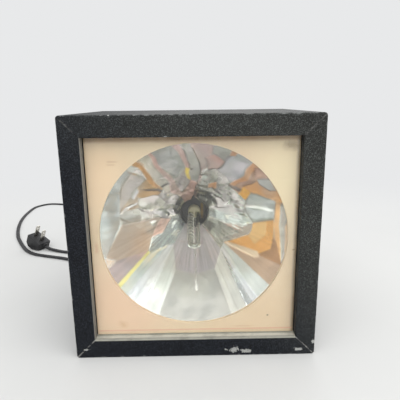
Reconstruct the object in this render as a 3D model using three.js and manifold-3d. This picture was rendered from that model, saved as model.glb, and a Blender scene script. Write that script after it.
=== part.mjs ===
// A strobe light: a square box of mitred boards with a clear window, a panel with a round hole, a cone of
// mirrored film and a hairpin flash tube, its control circuit, and a power cord with a plug.
// Millimetres. +X is right seen from the front, +Y goes to the back, +Z is up. The origin is the middle of the
// underside of the box.

import * as THREE from 'three';
import * as BufferGeometryUtils from 'three/addons/utils/BufferGeometryUtils.js';
import Module from 'manifold-3d';

const wasm = await Module();
wasm.setup();

// Clearance between neighbouring pieces, and how far a cutter runs past the face it goes through
const seatGap = 0.3;
const overrun = 1;

// Cabinet
const cabinetWidth = 203.2;
const cabinetHeight = 203.2;
const cabinetDepth = 152.4;
const boardThickness = 17;
const cornerRadius = 2.5;
const edgeEase = 0.9;
const mitreGap = 0.3;
const cornerBlockLeg = 22;
const blockScrewShare = 0.32;

// Window and panel behind it
const maskRecess = 9.2;
const maskThickness = 3.2;
const windowThickness = 2;
const windowToMask = 0.5;
const grooveDepth = 3;
const lampRise = 2;
const apertureMargin = 5.3;

// Reflector, rolled from a flat sheet of mirrored film
const filmThickness = 0.6;
const apexRadius = 14;
const apexToSocket = 1.3;
const mouthOverhang = 1.2;
const tabLength = 3;
const tabCount = 16;
const columnsPerTab = 5;
const tabColumns = 3;
const lapColumns = 2;

// Lamp socket
const socketBoreRadius = 12.5;
const socketWall = 3.5;
const socketRimRadius = 18;
const socketRimThickness = 2.5;
const socketBoreDepth = 10;
const socketFloor = 4;
const socketFlangeRadius = 22;
const socketFlangeThickness = 2.5;
const contactWidth = 2.6;
const contactThickness = 0.6;
const contactEar = 3.5;
const contactGap = 0.6;

// Lamp
const lampDroop = THREE.MathUtils.degToRad(6);
const tubeBeyondCone = 11.5;
const tubeRadius = 2.25;
const tubeWall = 0.7;
const legSpacing = 6.4;
const legSeat = 5;
const footWall = 0.75;
const footLength = 8;
const footDome = 2;
const footDomeShare = 1 / 3;
const cathodeRadius = 1.15;
const anodeRadius = 0.9;
const cathodeLength = 11;
const anodeLength = 8;
const electrodeStart = 2;
const pinRadius = 0.55;
const pinLength = 10;
const triggerPinInset = 1.65;
const triggerWireRadius = 0.3;
const triggerWireStraight = 0.9;
const triggerWireOut = 1.6;
const windingGap = 0.42;
const windingStart = 6;
const triggerTurns = 9;
const windingSpare = 26.6;

// Strap that carries the socket
const strapHeight = 22;
const strapThickness = 2;
const strapFoot = 18;
const strapToPanel = 27.6;
const strapBoreRadius = 9;

// Screws
const smallScrewRadius = 1.5;
const smallHeadRadius = 3;
const smallHeadHeight = 1.8;
const largeScrewRadius = 1.9;
const largeHeadRadius = 4;
const largeHeadHeight = 2.4;
const headEdgeShare = 1 / 3;
const screwBite = 9;
const nutHeight = 2.4;
const nutCornersShare = 1.45;

// Rear panel
const rearRecess = 20;
const rearPanelThickness = 2;
const rearPanelSlack = 0.5;
const controlHeightShare = 0.7136;
const controlSpread = 40;
const ventLengthShare = 0.433;
const ventWidth = 4;
const ventPitchShare = 0.0443;
const ventCount = 7;
const ventBottomShare = 0.2854;

// Speed control
const controlBodyRadius = 12;
const controlBodyDepth = 10;
const controlFloor = 2;
const controlBushRadius = 4.7;
const controlBushLength = 5;
const shaftRadius = 3.175;
const knobRadius = 13;
const knobTopRadius = 10.5;
const knobHeight = 14;
const knobLift = 1;
const knobRoof = 3;
const knobSkirtHeight = 2.8;
const knobSlope = 0.8;
const knobFluteRadius = 1.6;
const knobFluteOffset = 1.28;
const knobFlutes = 12;
const pointerWidth = 1.2;
const pointerDepth = 0.8;
const pointerStart = 2.6;
const lugWidth = 2.4;
const lugThickness = 0.8;
const lugLength = 6;
const lugPitch = 4.8;
const lugRoot = 2.4;

// Power switch
const switchCaseWidth = 15;
const switchCaseHeight = 28;
const switchCaseDepth = 18;
const switchBushRadius = 5.9;
const switchBushLength = 8;
const switchBoreRadius = 3.5;
const switchMouthRadius = 4.6;
const switchMouthStart = 1.2;
const switchLugHeight = 7;
const leverSwing = THREE.MathUtils.degToRad(12);
const leverBallRadius = 3;
const leverNeckRadius = 1.7;
const leverTipRadius = 2.8;
const leverLength = 14;
const leverTail = 4;
const leverTailRadius = 1.36;
const leverTailRoom = 2;
const leverPivotLift = 4;

// Circuit board and its spacers
const circuitToBlock = 3.6;
const circuitWidth = 56;
const circuitThickness = 1.6;
const spacerHeight = 8;
const spacerRadius = 3.6;
const cornerInset = 5;
const circuitToPanel = 4.2;

// Parts on the circuit board
const storageRadiusShare = 0.0932;
const storageHeight = 36;
const crimpDepth = 0.8;
const crimpHeight = 4.3;
const canDishInset = 2.4;
const canDishDepth = 0.4;
const coilFlangeShare = 0.0593;
const coilWindingShare = 0.0508;
const coilHeight = 16;
const coilFlange = 1.5;
const filmCapShare = 0.1525;
const filmCapWidth = 7;
const filmCapHeight = 11;
const tabWidth = 10;
const tabHeight = 15.6;
const tabThickness = 1.3;
const tabHoleRadius = 1.65;
const thyristorBodyHeight = 9;
const thyristorBodyDepth = 4.4;
const thyristorLegLength = 5;
const thyristorLegWidth = 1;
const thyristorLegPitch = 2.5;
const thyristorLegInset = 0.5;
const diodeRadius = 2.5;
const diodeShare = 0.0763;
const leadRadius = 0.5;
const leadReachShare = 0.0203;
const diodeLift = 1;
const resistorLength = 38;
const resistorSide = 9.5;
const resistorLeadReach = 1.2;
const fuseRadius = 3.175;
const fuseLength = 31.8;
const fuseCapLength = 6;
const fuseGlassStep = 0.4;
const fuseLift = 2.4;
const clipThickness = 0.6;
const clipWidth = 5;
const clipFootWidth = 4;
const clipMouthHeight = 1.6;
const terminalRadius = 1;
const terminalCollarRadius = 1.6;
const terminalHeight = 5;

// Hook-up wires
const wireRadius = 0.9;
const wireStepShare = 12;
const wireStraight = 2.7;
const wireDrop = 5.4;
const terminalApproach = 10.8;
const lugApproach = 7.6;
const upperShare = 1 / 3;
const lowerShare = 2 / 3;
const middleShare = 1 / 2;
const neutralBendShare = 0.6;
const switchLeadX = [-34, -30];
const liveLeadX = [-48, -46, -44];

// Cord, strain relief and plug
const cordRadius = 2.8;
const cordX = -45;
const cordHeightShare = 0.1969;
const cordFloorGap = 0.1;
const cordTouchdown = 0.6;
const cordStep = 14.5;
const reliefCollarRadius = 8;
const reliefCollarThickness = 3;
const reliefNeckRadius = 6;
const reliefTipRadius = 4.2;
const reliefLength = 24;
const reliefInside = 5;
const reliefRibs = 5;
const reliefRibDepth = 0.6;
const ribRootShare = 0.1;
const ribRiseShare = 0.4;
const ribTopShare = 0.5;
const coilX = -105;
const coilY = 130;
const coilOuterRadius = 34;
const coilPitch = 6.4;
const coilLayerStep = 6.4;
const coilEntry = THREE.MathUtils.degToRad(210);
const coilExit = THREE.MathUtils.degToRad(80);
const coilFullTurns = 3;
const coilStepsPerTurn = 24;
const sameTurnLength = 22.4;
const tieThickness = 1.2;
const tieWidth = 6;
const tieAngle = THREE.MathUtils.degToRad(330);
const plugX = -234;
const plugY = 199;
const plugHeading = THREE.MathUtils.degToRad(-29.8);
const plugLean = THREE.MathUtils.degToRad(25);
const plugNearLength = 14;
const plugFarLength = 13;
const plugThickness = 18;
const plugEndHeight = 12;
const plugFarChamfer = 5;
const plugWidth = 21;
const plugEase = 1.5;
const plugNoseRadius = 3.9;
const plugNoseLength = 2.5;
const plugNoseDepth = 4.6;
const bladeSpacing = 12.7;
const bladeWidth = 6.35;
const bladeThickness = 1.5;
const bladeLength = 17.5;
const bladeSeat = 5;
const bladeHoleRadius = 1.6;
const bladeHoleInset = 4.4;
const plugFloorGap = 0.2;

// Places worked out from the sizes above
const frontY = -cabinetDepth / 2;
const backY = cabinetDepth / 2;
const innerHalfWidth = cabinetWidth / 2 - boardThickness;
const innerBottom = boardThickness;
const innerTop = cabinetHeight - boardThickness;
const lampHeight = (innerBottom + innerTop) / 2 + lampRise;
const maskFront = frontY + maskRecess;
const maskBack = maskFront + maskThickness;
const windowBack = maskFront - windowToMask;
const windowFront = windowBack - windowThickness;
const apertureRadius = Math.min(innerHalfWidth, innerTop - lampHeight) - apertureMargin;
const mouthRadius = apertureRadius + mouthOverhang;
const rearPanelBack = backY - rearRecess;
const rearPanelFront = rearPanelBack - rearPanelThickness;
const strapFront = rearPanelFront - strapToPanel;
const strapBack = strapFront + strapThickness;
const socketBack = strapFront - seatGap;
const socketFloorFront = socketBack - socketFloor;
const socketFront = socketFloorFront - socketBoreDepth;
const mouthY = maskBack + seatGap;
const apexY = socketFront - apexToSocket;
const reflectorDepth = apexY - mouthY;
const coneSlant = Math.hypot(mouthRadius - apexRadius, reflectorDepth);
const filmOutward = reflectorDepth / coneSlant;
const filmBackward = (mouthRadius - apexRadius) / coneSlant;
const lapLift = filmThickness + seatGap;
const footRadius = legSpacing / 2 + tubeRadius + footWall;
const footBackY = socketFloorFront - seatGap - footRadius * Math.sin(lampDroop);
const tubeReach = reflectorDepth + tubeBeyondCone;
const triggerPitch = (tubeReach - windingSpare) / triggerTurns;
const controlHeight = cabinetHeight * controlHeightShare;
const cordHeight = cabinetHeight * cordHeightShare;
const ventBottom = cabinetHeight * ventBottomShare;
const ventPitch = cabinetHeight * ventPitchShare;
const ventLength = cabinetWidth * ventLengthShare;
const circuitLength = 2 * (innerHalfWidth - cornerBlockLeg - circuitToBlock);
const circuitUnderside = innerBottom + seatGap + spacerHeight + seatGap;
const circuitTop = circuitUnderside + circuitThickness;
const circuitY = rearPanelFront - circuitToPanel - circuitWidth / 2;
const storageRadius = circuitLength * storageRadiusShare;
const coilFlangeRadius = circuitLength * coilFlangeShare;
const coilWindingRadius = circuitLength * coilWindingShare;
const filmCapLength = circuitLength * filmCapShare;
const diodeLength = circuitLength * diodeShare;
const leadReach = circuitLength * leadReachShare;
const partBase = circuitTop + seatGap;
const fuseAxis = circuitTop + fuseLift + fuseRadius;

// Finishes: colour, roughness and metalness of each material
const finishes = {
  blackPaint: { color: '#18191b', roughness: 0.62, metalness: 0 },
  glueBlock: { color: '#b08a5a', roughness: 0.8, metalness: 0 },
  creamPanel: { color: '#e9d3b2', roughness: 0.6, metalness: 0 },
  clearAcrylic: { color: '#eef2f2', roughness: 0.05, metalness: 0, transparent: true, opacity: 0.25 },
  mirrorFilm: { color: '#d9dcdd', roughness: 0.08, metalness: 1 },
  darkPhenolic: { color: '#2a2522', roughness: 0.5, metalness: 0 },
  ceramic: { color: '#dcd8c2', roughness: 0.5, metalness: 0 },
  clearGlass: { color: '#e8eee8', roughness: 0.03, metalness: 0, transparent: true, opacity: 0.35 },
  nickel: { color: '#b9b6ae', roughness: 0.3, metalness: 1 },
  tungsten: { color: '#6f6c68', roughness: 0.4, metalness: 1 },
  brass: { color: '#b28a4a', roughness: 0.35, metalness: 1 },
  zincSteel: { color: '#a9acae', roughness: 0.4, metalness: 1 },
  blackMetal: { color: '#222426', roughness: 0.5, metalness: 0.4 },
  blackPlastic: { color: '#141416', roughness: 0.45, metalness: 0 },
  blackRubber: { color: '#161618', roughness: 0.7, metalness: 0 },
  circuitBoard: { color: '#8c6a3a', roughness: 0.6, metalness: 0 },
  blueSleeve: { color: '#2b4f7d', roughness: 0.4, metalness: 0 },
  copperWinding: { color: '#a35a2c', roughness: 0.4, metalness: 0.8 },
  redFilm: { color: '#a3402c', roughness: 0.4, metalness: 0 },
  whiteCeramic: { color: '#e4e2da', roughness: 0.7, metalness: 0 },
  redWire: { color: '#a52a22', roughness: 0.5, metalness: 0 },
  whiteWire: { color: '#dcdcd8', roughness: 0.5, metalness: 0 },
  yellowWire: { color: '#c9a52c', roughness: 0.5, metalness: 0 },
  paperTie: { color: '#2f2f33', roughness: 0.8, metalness: 0 },
};

const strobe = new THREE.Group();

// Adds one named piece to a group.
function piece(name, geometry, finish, parent = strobe) {
  const mesh = new THREE.Mesh(geometry, new THREE.MeshStandardMaterial(finish));
  mesh.name = name;
  parent.add(mesh);
  return mesh;
}

// A closed geometry as a solid: shared corners welded, flat slivers dropped, faces turned outward.
function solidOf(geometry) {
  const bare = geometry.clone();
  bare.deleteAttribute('normal');
  bare.deleteAttribute('uv');
  const welded = BufferGeometryUtils.mergeVertices(bare);
  const place = welded.attributes.position;
  const corners = [];
  let volume = 0;
  const a = new THREE.Vector3();
  const b = new THREE.Vector3();
  const c = new THREE.Vector3();
  for (let k = 0; k < welded.index.count; k += 3) {
    const [i, j, m] = [welded.index.getX(k), welded.index.getX(k + 1), welded.index.getX(k + 2)];
    if (i === j || j === m || m === i) continue;
    corners.push(i, j, m);
    a.fromBufferAttribute(place, i);
    b.fromBufferAttribute(place, j);
    c.fromBufferAttribute(place, m);
    volume += a.dot(b.cross(c));
  }
  if (volume < 0) corners.reverse();
  const mesh = new wasm.Mesh({
    numProp: 3,
    vertProperties: place.array,
    triVerts: new Uint32Array(corners),
  });
  return new wasm.Manifold(mesh);
}

// A solid as a geometry again.
function geometryOf(solid) {
  const mesh = solid.getMesh();
  const geometry = new THREE.BufferGeometry();
  geometry.setAttribute('position', new THREE.BufferAttribute(mesh.vertProperties, 3));
  geometry.setIndex(new THREE.BufferAttribute(mesh.triVerts, 1));
  geometry.computeVertexNormals();
  return geometry;
}

function cut(base, ...tools) {
  return geometryOf(tools.reduce((solid, tool) => solid.subtract(solidOf(tool)), solidOf(base)));
}

function common(base, tool) {
  return geometryOf(solidOf(base).intersect(solidOf(tool)));
}

function join(...geometries) {
  return geometryOf(geometries.map(solidOf).reduce((whole, solid) => whole.add(solid)));
}

function copyAt(geometry, x, y, z) {
  return geometry.clone().translate(x, y, z);
}

// A box between two corners.
function boxBetween(x0, x1, y0, y1, z0, z1) {
  const box = new THREE.BoxGeometry(x1 - x0, y1 - y0, z1 - z0);
  return box.translate((x0 + x1) / 2, (y0 + y1) / 2, (z0 + z1) / 2);
}

// A round bar from one end to the other along Y, Z or X, about the origin's axis.
function barAlongY(radius, y0, y1, sides = 16) {
  return new THREE.CylinderGeometry(radius, radius, y1 - y0, sides).translate(0, (y0 + y1) / 2, 0);
}

function barAlongZ(radius, z0, z1, sides = 16) {
  return barAlongY(radius, z0, z1, sides).rotateX(Math.PI / 2);
}

function barAlongX(radius, x0, x1, sides = 16) {
  return barAlongY(radius, x0, x1, sides).rotateZ(-Math.PI / 2);
}

// A turned piece about the Y axis, from [radius, y] corners that start and end on the axis or close.
function turned(corners, sides = 24) {
  const profile = corners.map(([radius, y]) => new THREE.Vector2(radius, y));
  return geometryOf(solidOf(new THREE.LatheGeometry(profile, sides)));
}

// The same, standing on Z.
function turnedUpright(corners, sides = 24) {
  return turned(corners, sides).rotateX(Math.PI / 2);
}

function polygon(corners) {
  return new THREE.Shape(corners.map(([x, y]) => new THREE.Vector2(x, y)));
}

function regularPolygon(radius, sides) {
  const corners = [];
  for (let k = 0; k < sides; k += 1) {
    const angle = (2 * Math.PI * (k + 0.5)) / sides;
    corners.push([radius * Math.cos(angle), radius * Math.sin(angle)]);
  }
  return polygon(corners);
}

// A plate whose outline is drawn in X and Z, from y0 to y1.
function plateAlongY(shape, y0, y1, ease = 0) {
  const plate = new THREE.ExtrudeGeometry(shape, {
    depth: y1 - y0 - 2 * ease,
    curveSegments: 48,
    bevelEnabled: ease > 0,
    bevelThickness: ease,
    bevelSize: ease,
    bevelOffset: -ease,
    bevelSegments: 2,
  });
  return plate.rotateX(Math.PI / 2).translate(0, y1 - ease, 0);
}

// A tube or bar along a curve.
function sweep(curve, section, steps) {
  return new THREE.ExtrudeGeometry(section, { steps, extrudePath: curve, bevelEnabled: false });
}

function smoothCurve(points) {
  const curve = new THREE.CatmullRomCurve3(points, false, 'centripetal');
  curve.arcLengthDivisions = 1000;
  return curve;
}

function wireAlong(points, radius = wireRadius) {
  const curve = smoothCurve(points);
  return sweep(curve, regularPolygon(radius, 6), Math.ceil(curve.getLength() / (wireStepShare * radius)));
}

// A pan-head screw along Y, its head's underside at y = 0 and its shank toward -Y.
function screwAlongY(radius, headRadius, headHeight, length) {
  const edge = headHeight * headEdgeShare;
  return turned([
    [0, -length],
    [radius - seatGap, -length],
    [radius, -length + radius],
    [radius, 0],
    [headRadius, 0],
    [headRadius, headHeight - edge],
    [headRadius - edge, headHeight],
    [0, headHeight],
  ], 10);
}

// A hexagon nut along Y with its near face at y = 0.
function hexNut(acrossCorners, boreRadius, height) {
  const nut = new THREE.CylinderGeometry(acrossCorners, acrossCorners, height, 6).translate(0, height / 2, 0);
  return cut(nut, barAlongY(boreRadius, -overrun, height + overrun));
}

// Cabinet: one ring of board with eased edges and a window groove, sawn into four at the mitres.
function buildCabinet() {
  const half = cabinetWidth / 2;
  const outline = new THREE.Shape();
  outline.moveTo(-half + cornerRadius, 0);
  outline.lineTo(half - cornerRadius, 0);
  outline.absarc(half - cornerRadius, cornerRadius, cornerRadius, -Math.PI / 2, 0);
  outline.lineTo(half, cabinetHeight - cornerRadius);
  outline.absarc(half - cornerRadius, cabinetHeight - cornerRadius, cornerRadius, 0, Math.PI / 2);
  outline.lineTo(-half + cornerRadius, cabinetHeight);
  outline.absarc(-half + cornerRadius, cabinetHeight - cornerRadius, cornerRadius, Math.PI / 2, Math.PI);
  outline.lineTo(-half, cornerRadius);
  outline.absarc(-half + cornerRadius, cornerRadius, cornerRadius, Math.PI, 1.5 * Math.PI);
  outline.holes.push(polygon([
    [-innerHalfWidth, innerBottom],
    [-innerHalfWidth, innerTop],
    [innerHalfWidth, innerTop],
    [innerHalfWidth, innerBottom],
  ]));
  const ring = new THREE.ExtrudeGeometry(outline, {
    depth: cabinetDepth - 2 * edgeEase,
    curveSegments: 4,
    bevelThickness: edgeEase,
    bevelSize: edgeEase,
    bevelOffset: -edgeEase,
    bevelSegments: 2,
  }).rotateX(Math.PI / 2).translate(0, backY - edgeEase, 0);
  const groove = boxBetween(
    -innerHalfWidth - grooveDepth, innerHalfWidth + grooveDepth,
    windowFront - seatGap, windowBack + seatGap,
    innerBottom - grooveDepth, innerTop + grooveDepth,
  );
  const grooved = cut(ring, groove);

  // The wedge that keeps one board: its sides run at 45 degrees through the corners, less half the joint.
  const wedge = (length) => {
    const slack = mitreGap / Math.SQRT2;
    const reach = boardThickness + overrun;
    const end = length / 2 - slack;
    const outlineOfWedge = polygon([
      [-end - overrun, overrun],
      [-end + reach, -reach],
      [end - reach, -reach],
      [end + overrun, overrun],
    ]);
    return plateAlongY(outlineOfWedge, frontY - overrun, backY + overrun);
  };
  const boards = [
    ['board_top', cabinetWidth, 0, 0, cabinetHeight],
    ['board_bottom', cabinetWidth, Math.PI, 0, 0],
    ['board_left', cabinetHeight, -Math.PI / 2, -half, cabinetHeight / 2],
    ['board_right', cabinetHeight, Math.PI / 2, half, cabinetHeight / 2],
  ];
  for (const [name, length, turn, x, z] of boards) {
    const keep = wedge(length).rotateY(turn).translate(x, 0, z);
    let board = common(grooved, keep);
    if (name === 'board_bottom') board = cut(board, ...circuitScrewHoles());
    piece(name, board, finishes.blackPaint);
  }
}

// Three-cornered glue blocks in the cabinet's corners: the panel is fixed to their fronts, the rear panel is
// screwed to their backs.
function buildCornerBlocks() {
  const blockFront = maskBack + seatGap;
  const blockBack = rearPanelFront - seatGap;
  const leg = cornerBlockLeg;
  for (const [name, sideX, sideZ] of cornerSigns()) {
    const x = sideX * (innerHalfWidth - seatGap);
    const z = sideZ > 0 ? innerTop - seatGap : innerBottom + seatGap;
    const outline = polygon([
      [x, z],
      [x - sideX * leg, z],
      [x - sideX * leg, z - sideZ * edgeEase],
      [x - sideX * edgeEase, z - sideZ * leg],
      [x, z - sideZ * leg],
    ]);
    const hole = barAlongY(largeScrewRadius + seatGap, blockBack - screwBite - seatGap,
      blockBack + overrun, 10);
    const [screwX, screwZ] = rearScrewPlace(sideX, sideZ);
    const block = cut(plateAlongY(outline, blockFront, blockBack), hole.translate(screwX, 0, screwZ));
    piece(`corner_block_${name}`, block, finishes.glueBlock);
  }
}

function cornerSigns() {
  return [['top_left', -1, 1], ['top_right', 1, 1], ['bottom_left', -1, -1], ['bottom_right', 1, -1]];
}

function rearScrewPlace(sideX, sideZ) {
  const inset = cornerBlockLeg * blockScrewShare;
  return [sideX * (innerHalfWidth - inset), sideZ > 0 ? innerTop - inset : innerBottom + inset];
}

// Panel with the round hole, and the clear window in front of it with its edges in the groove.
function buildFront() {
  const maskHalf = innerHalfWidth - seatGap;
  const mask = boxBetween(-maskHalf, maskHalf, maskFront, maskBack, innerBottom + seatGap, innerTop - seatGap);
  const hole = barAlongY(apertureRadius, maskFront - overrun, maskBack + overrun, 72)
    .translate(0, 0, lampHeight);
  piece('front_mask', cut(mask, hole), finishes.creamPanel);
  const reach = grooveDepth - seatGap;
  const pane = boxBetween(
    -innerHalfWidth - reach, innerHalfWidth + reach,
    windowFront, windowBack,
    innerBottom - reach, innerTop + reach,
  );
  piece('front_window', pane, finishes.clearAcrylic);
}

// A closed sheet from a grid of corner pairs. frontAt and backAt give the two faces' points of column i and row
// j; present tells whether the cell between (i, j) and (i + 1, j + 1) is there.
function sheetFromGrid(columns, rows, frontAt, backAt, present) {
  const positions = [];
  const face = (a, b, c, d) => {
    for (const corner of [a, b, c, a, c, d]) positions.push(corner.x, corner.y, corner.z);
  };
  const there = (i, j) => i >= 0 && j >= 0 && i < columns && j < rows && present(i, j);
  for (let i = 0; i < columns; i += 1) {
    for (let j = 0; j < rows; j += 1) {
      if (!there(i, j)) continue;
      const front = [frontAt(i, j), frontAt(i + 1, j), frontAt(i + 1, j + 1), frontAt(i, j + 1)];
      const back = [backAt(i, j), backAt(i + 1, j), backAt(i + 1, j + 1), backAt(i, j + 1)];
      face(front[0], front[1], front[2], front[3]);
      face(back[3], back[2], back[1], back[0]);
      const neighbours = [there(i, j - 1), there(i + 1, j), there(i, j + 1), there(i - 1, j)];
      neighbours.forEach((joined, side) => {
        const next = (side + 1) % 4;
        if (!joined) face(front[next], front[side], back[side], back[next]);
      });
    }
  }
  const geometry = new THREE.BufferGeometry();
  geometry.setAttribute('position', new THREE.Float32BufferAttribute(positions, 3));
  return geometry;
}

// Reflector: a strip of film rolled into a cone. Its last columns lap over the first at the top, lifted clear
// of them, and tabs cut in its wide edge are folded flat against the back of the panel.
function buildReflector() {
  const ringColumns = tabCount * columnsPerTab;
  const columns = ringColumns + lapColumns;
  const columnAngle = (2 * Math.PI) / ringColumns;
  const rampColumns = 2;
  const foldReach = 1 / (1 + filmBackward);
  const lapStart = Math.PI / 2 - (lapColumns / 2) * columnAngle;

  const at = (i, radius, y) => {
    const angle = lapStart + i * columnAngle;
    return new THREE.Vector3(radius * Math.cos(angle), y, lampHeight + radius * Math.sin(angle));
  };
  const liftOf = (i) => lapLift * THREE.MathUtils.clamp((i - ringColumns + rampColumns) / rampColumns, 0, 1);
  const faceAt = (depthOfFace) => (i, j) => {
    const offset = depthOfFace + liftOf(i);
    if (j === 0) return at(i, apexRadius + filmOutward * offset, apexY + filmBackward * offset);
    const radius = mouthRadius + filmOutward * foldReach * offset + (j > 1 ? tabLength : 0);
    return at(i, radius, mouthY + (filmBackward + 1) * foldReach * offset);
  };
  const isTab = (i) => i < ringColumns && (i - lapColumns + columnsPerTab) % columnsPerTab < tabColumns;
  const film = sheetFromGrid(
    columns, 2, faceAt(0), faceAt(filmThickness), (i, j) => j === 0 || isTab(i),
  );
  piece('reflector_cone', geometryOf(solidOf(film)), finishes.mirrorFilm);
}

// Socket: a cup with a rim that the film's narrow edge rests on, and a flange for its screws.
function buildSocket() {
  const outerRadius = socketBoreRadius + socketWall;
  const rimBack = socketFront + socketRimThickness;
  const flangeFront = socketBack - socketFlangeThickness;
  const cup = turned([
    [0, socketFloorFront],
    [socketBoreRadius, socketFloorFront],
    [socketBoreRadius, socketFront],
    [socketRimRadius, socketFront],
    [socketRimRadius, rimBack],
    [outerRadius, rimBack],
    [outerRadius, flangeFront],
    [socketFlangeRadius, flangeFront],
    [socketFlangeRadius, socketBack],
    [0, socketBack],
  ], 24);
  const pinHoles = lampPins().map(([x, z]) => {
    const radius = pinRadius + seatGap + (pinLength / 2) * Math.sin(lampDroop);
    return barAlongY(radius, socketFloorFront - overrun, socketBack + overrun, 10).translate(x, 0, z);
  });
  const screwHoles = [-1, 1].map((side) => {
    const hole = barAlongY(smallScrewRadius + seatGap, flangeFront - overrun, socketBack + overrun, 10);
    return hole.translate(side * socketScrewX(), 0, 0);
  });
  const socket = cut(cup, ...pinHoles, ...screwHoles).translate(0, 0, lampHeight);
  piece('lamp_socket', socket, finishes.darkPhenolic);

  // Contact strip on the floor of the cup, bent forward at its foot.
  const stripX = footRadius + contactGap;
  const stripHalf = Math.sqrt(socketBoreRadius ** 2 - (stripX + contactWidth) ** 2) - seatGap;
  const stripBack = socketFloorFront - seatGap;
  const strip = boxBetween(stripX, stripX + contactWidth, stripBack - contactThickness, stripBack,
    -stripHalf, stripHalf);
  const ear = boxBetween(stripX, stripX + contactWidth, stripBack - contactEar, stripBack,
    -stripHalf, -stripHalf + contactThickness);
  piece('socket_contact', join(strip, ear).translate(0, 0, lampHeight), finishes.brass);
}

function socketScrewX() {
  return (socketFlangeRadius + socketBoreRadius + socketWall) / 2;
}

// Places of the lamp's three pins across its foot: cathode, anode and trigger.
function lampPins() {
  return [[-legSpacing / 2, 0], [legSpacing / 2, 0], [0, triggerPinInset - footRadius]];
}

// The strap runs from side to side behind the socket, with its ends bent back along the boards.
function buildStrap() {
  const endX = innerHalfWidth - seatGap;
  const outline = [
    [-endX, strapFront],
    [endX, strapFront],
    [endX, strapFront + strapFoot],
    [endX - strapThickness, strapFront + strapFoot],
    [endX - strapThickness, strapBack],
    [-endX + strapThickness, strapBack],
    [-endX + strapThickness, strapFront + strapFoot],
    [-endX, strapFront + strapFoot],
  ];
  const bar = new THREE.ExtrudeGeometry(polygon(outline), { depth: strapHeight, bevelEnabled: false });
  bar.translate(0, 0, lampHeight - strapHeight / 2);
  const bore = barAlongY(strapBoreRadius, strapFront - overrun, strapBack + overrun)
    .translate(0, 0, lampHeight);
  const holes = [-1, 1].map((side) => {
    const hole = barAlongX(smallScrewRadius + seatGap, endX - strapThickness - overrun, endX + overrun, 10);
    if (side < 0) hole.rotateZ(Math.PI);
    return hole.translate(0, strapScrewY(), lampHeight);
  });

  // Two bolts with nuts, tight in the strap, hold the socket's flange.
  const flangeFront = socketBack - socketFlangeThickness;
  const length = strapBack - flangeFront + seatGap + nutHeight + overrun;
  const bolt = screwAlongY(smallScrewRadius, smallHeadRadius, smallHeadHeight, length).rotateX(Math.PI);
  const nut = barAlongY(smallHeadRadius, 0, nutHeight, 6).translate(0, strapBack - flangeFront + seatGap, 0);
  const bolts = [-1, 1].map((side) => {
    return copyAt(join(bolt, nut), side * socketScrewX(), flangeFront - seatGap, lampHeight);
  });
  piece('socket_strap', join(cut(bar, bore, ...holes), ...bolts), finishes.zincSteel);
}

function strapScrewY() {
  return strapBack + (strapFoot - strapThickness) / 2;
}

// The screws at the strap's ends go into the side boards, so the boards get their holes here.
function fastenStrap() {
  const face = innerHalfWidth - seatGap - strapThickness - seatGap;
  const length = strapThickness + screwBite;
  for (const [name, side] of [['left', -1], ['right', 1]]) {
    const screw = screwAlongY(smallScrewRadius, smallHeadRadius, smallHeadHeight, length);
    screw.rotateZ((side * Math.PI) / 2).translate(side * face, strapScrewY(), lampHeight);
    piece(`strap_screw_${name}`, screw, finishes.zincSteel);
    const board = strobe.getObjectByName(`board_${name}`);
    const hole = barAlongX(smallScrewRadius + seatGap, innerHalfWidth - overrun, face + length + seatGap, 16);
    if (side < 0) hole.rotateZ(Math.PI);
    board.geometry = cut(board.geometry, hole.translate(0, strapScrewY(), lampHeight));
  }
}

// A hairpin: two straight legs along Y, joined by a half circle at their far end. A sweep along it takes one
// step for each leg and the rest for the bend.
class HairpinCurve extends THREE.Curve {
  constructor(halfSpacing, legStart, legEnd, bendSteps) {
    super();
    this.halfSpacing = halfSpacing;
    this.legStart = legStart;
    this.legEnd = legEnd;
    this.bendSteps = bendSteps;
    this.leg = legStart - legEnd;
    this.bend = Math.PI * halfSpacing;
  }

  getUtoTmapping(share) {
    const step = share * (this.bendSteps + 2);
    const whole = 2 * this.leg + this.bend;
    if (step <= 1) return (step * this.leg) / whole;
    if (step >= this.bendSteps + 1) return 1 - ((this.bendSteps + 2 - step) * this.leg) / whole;
    return (this.leg + (this.bend * (step - 1)) / this.bendSteps) / whole;
  }

  getPoint(share, target = new THREE.Vector3()) {
    const along = share * (2 * this.leg + this.bend);
    if (along <= this.leg) return target.set(-this.halfSpacing, this.legStart - along, 0);
    const past = along - this.leg - this.bend;
    if (past >= 0) return target.set(this.halfSpacing, this.legEnd + past, 0);
    const angle = (along - this.leg) / this.halfSpacing;
    const x = -this.halfSpacing * Math.cos(angle);
    return target.set(x, this.legEnd - this.halfSpacing * Math.sin(angle), 0);
  }
}

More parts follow.
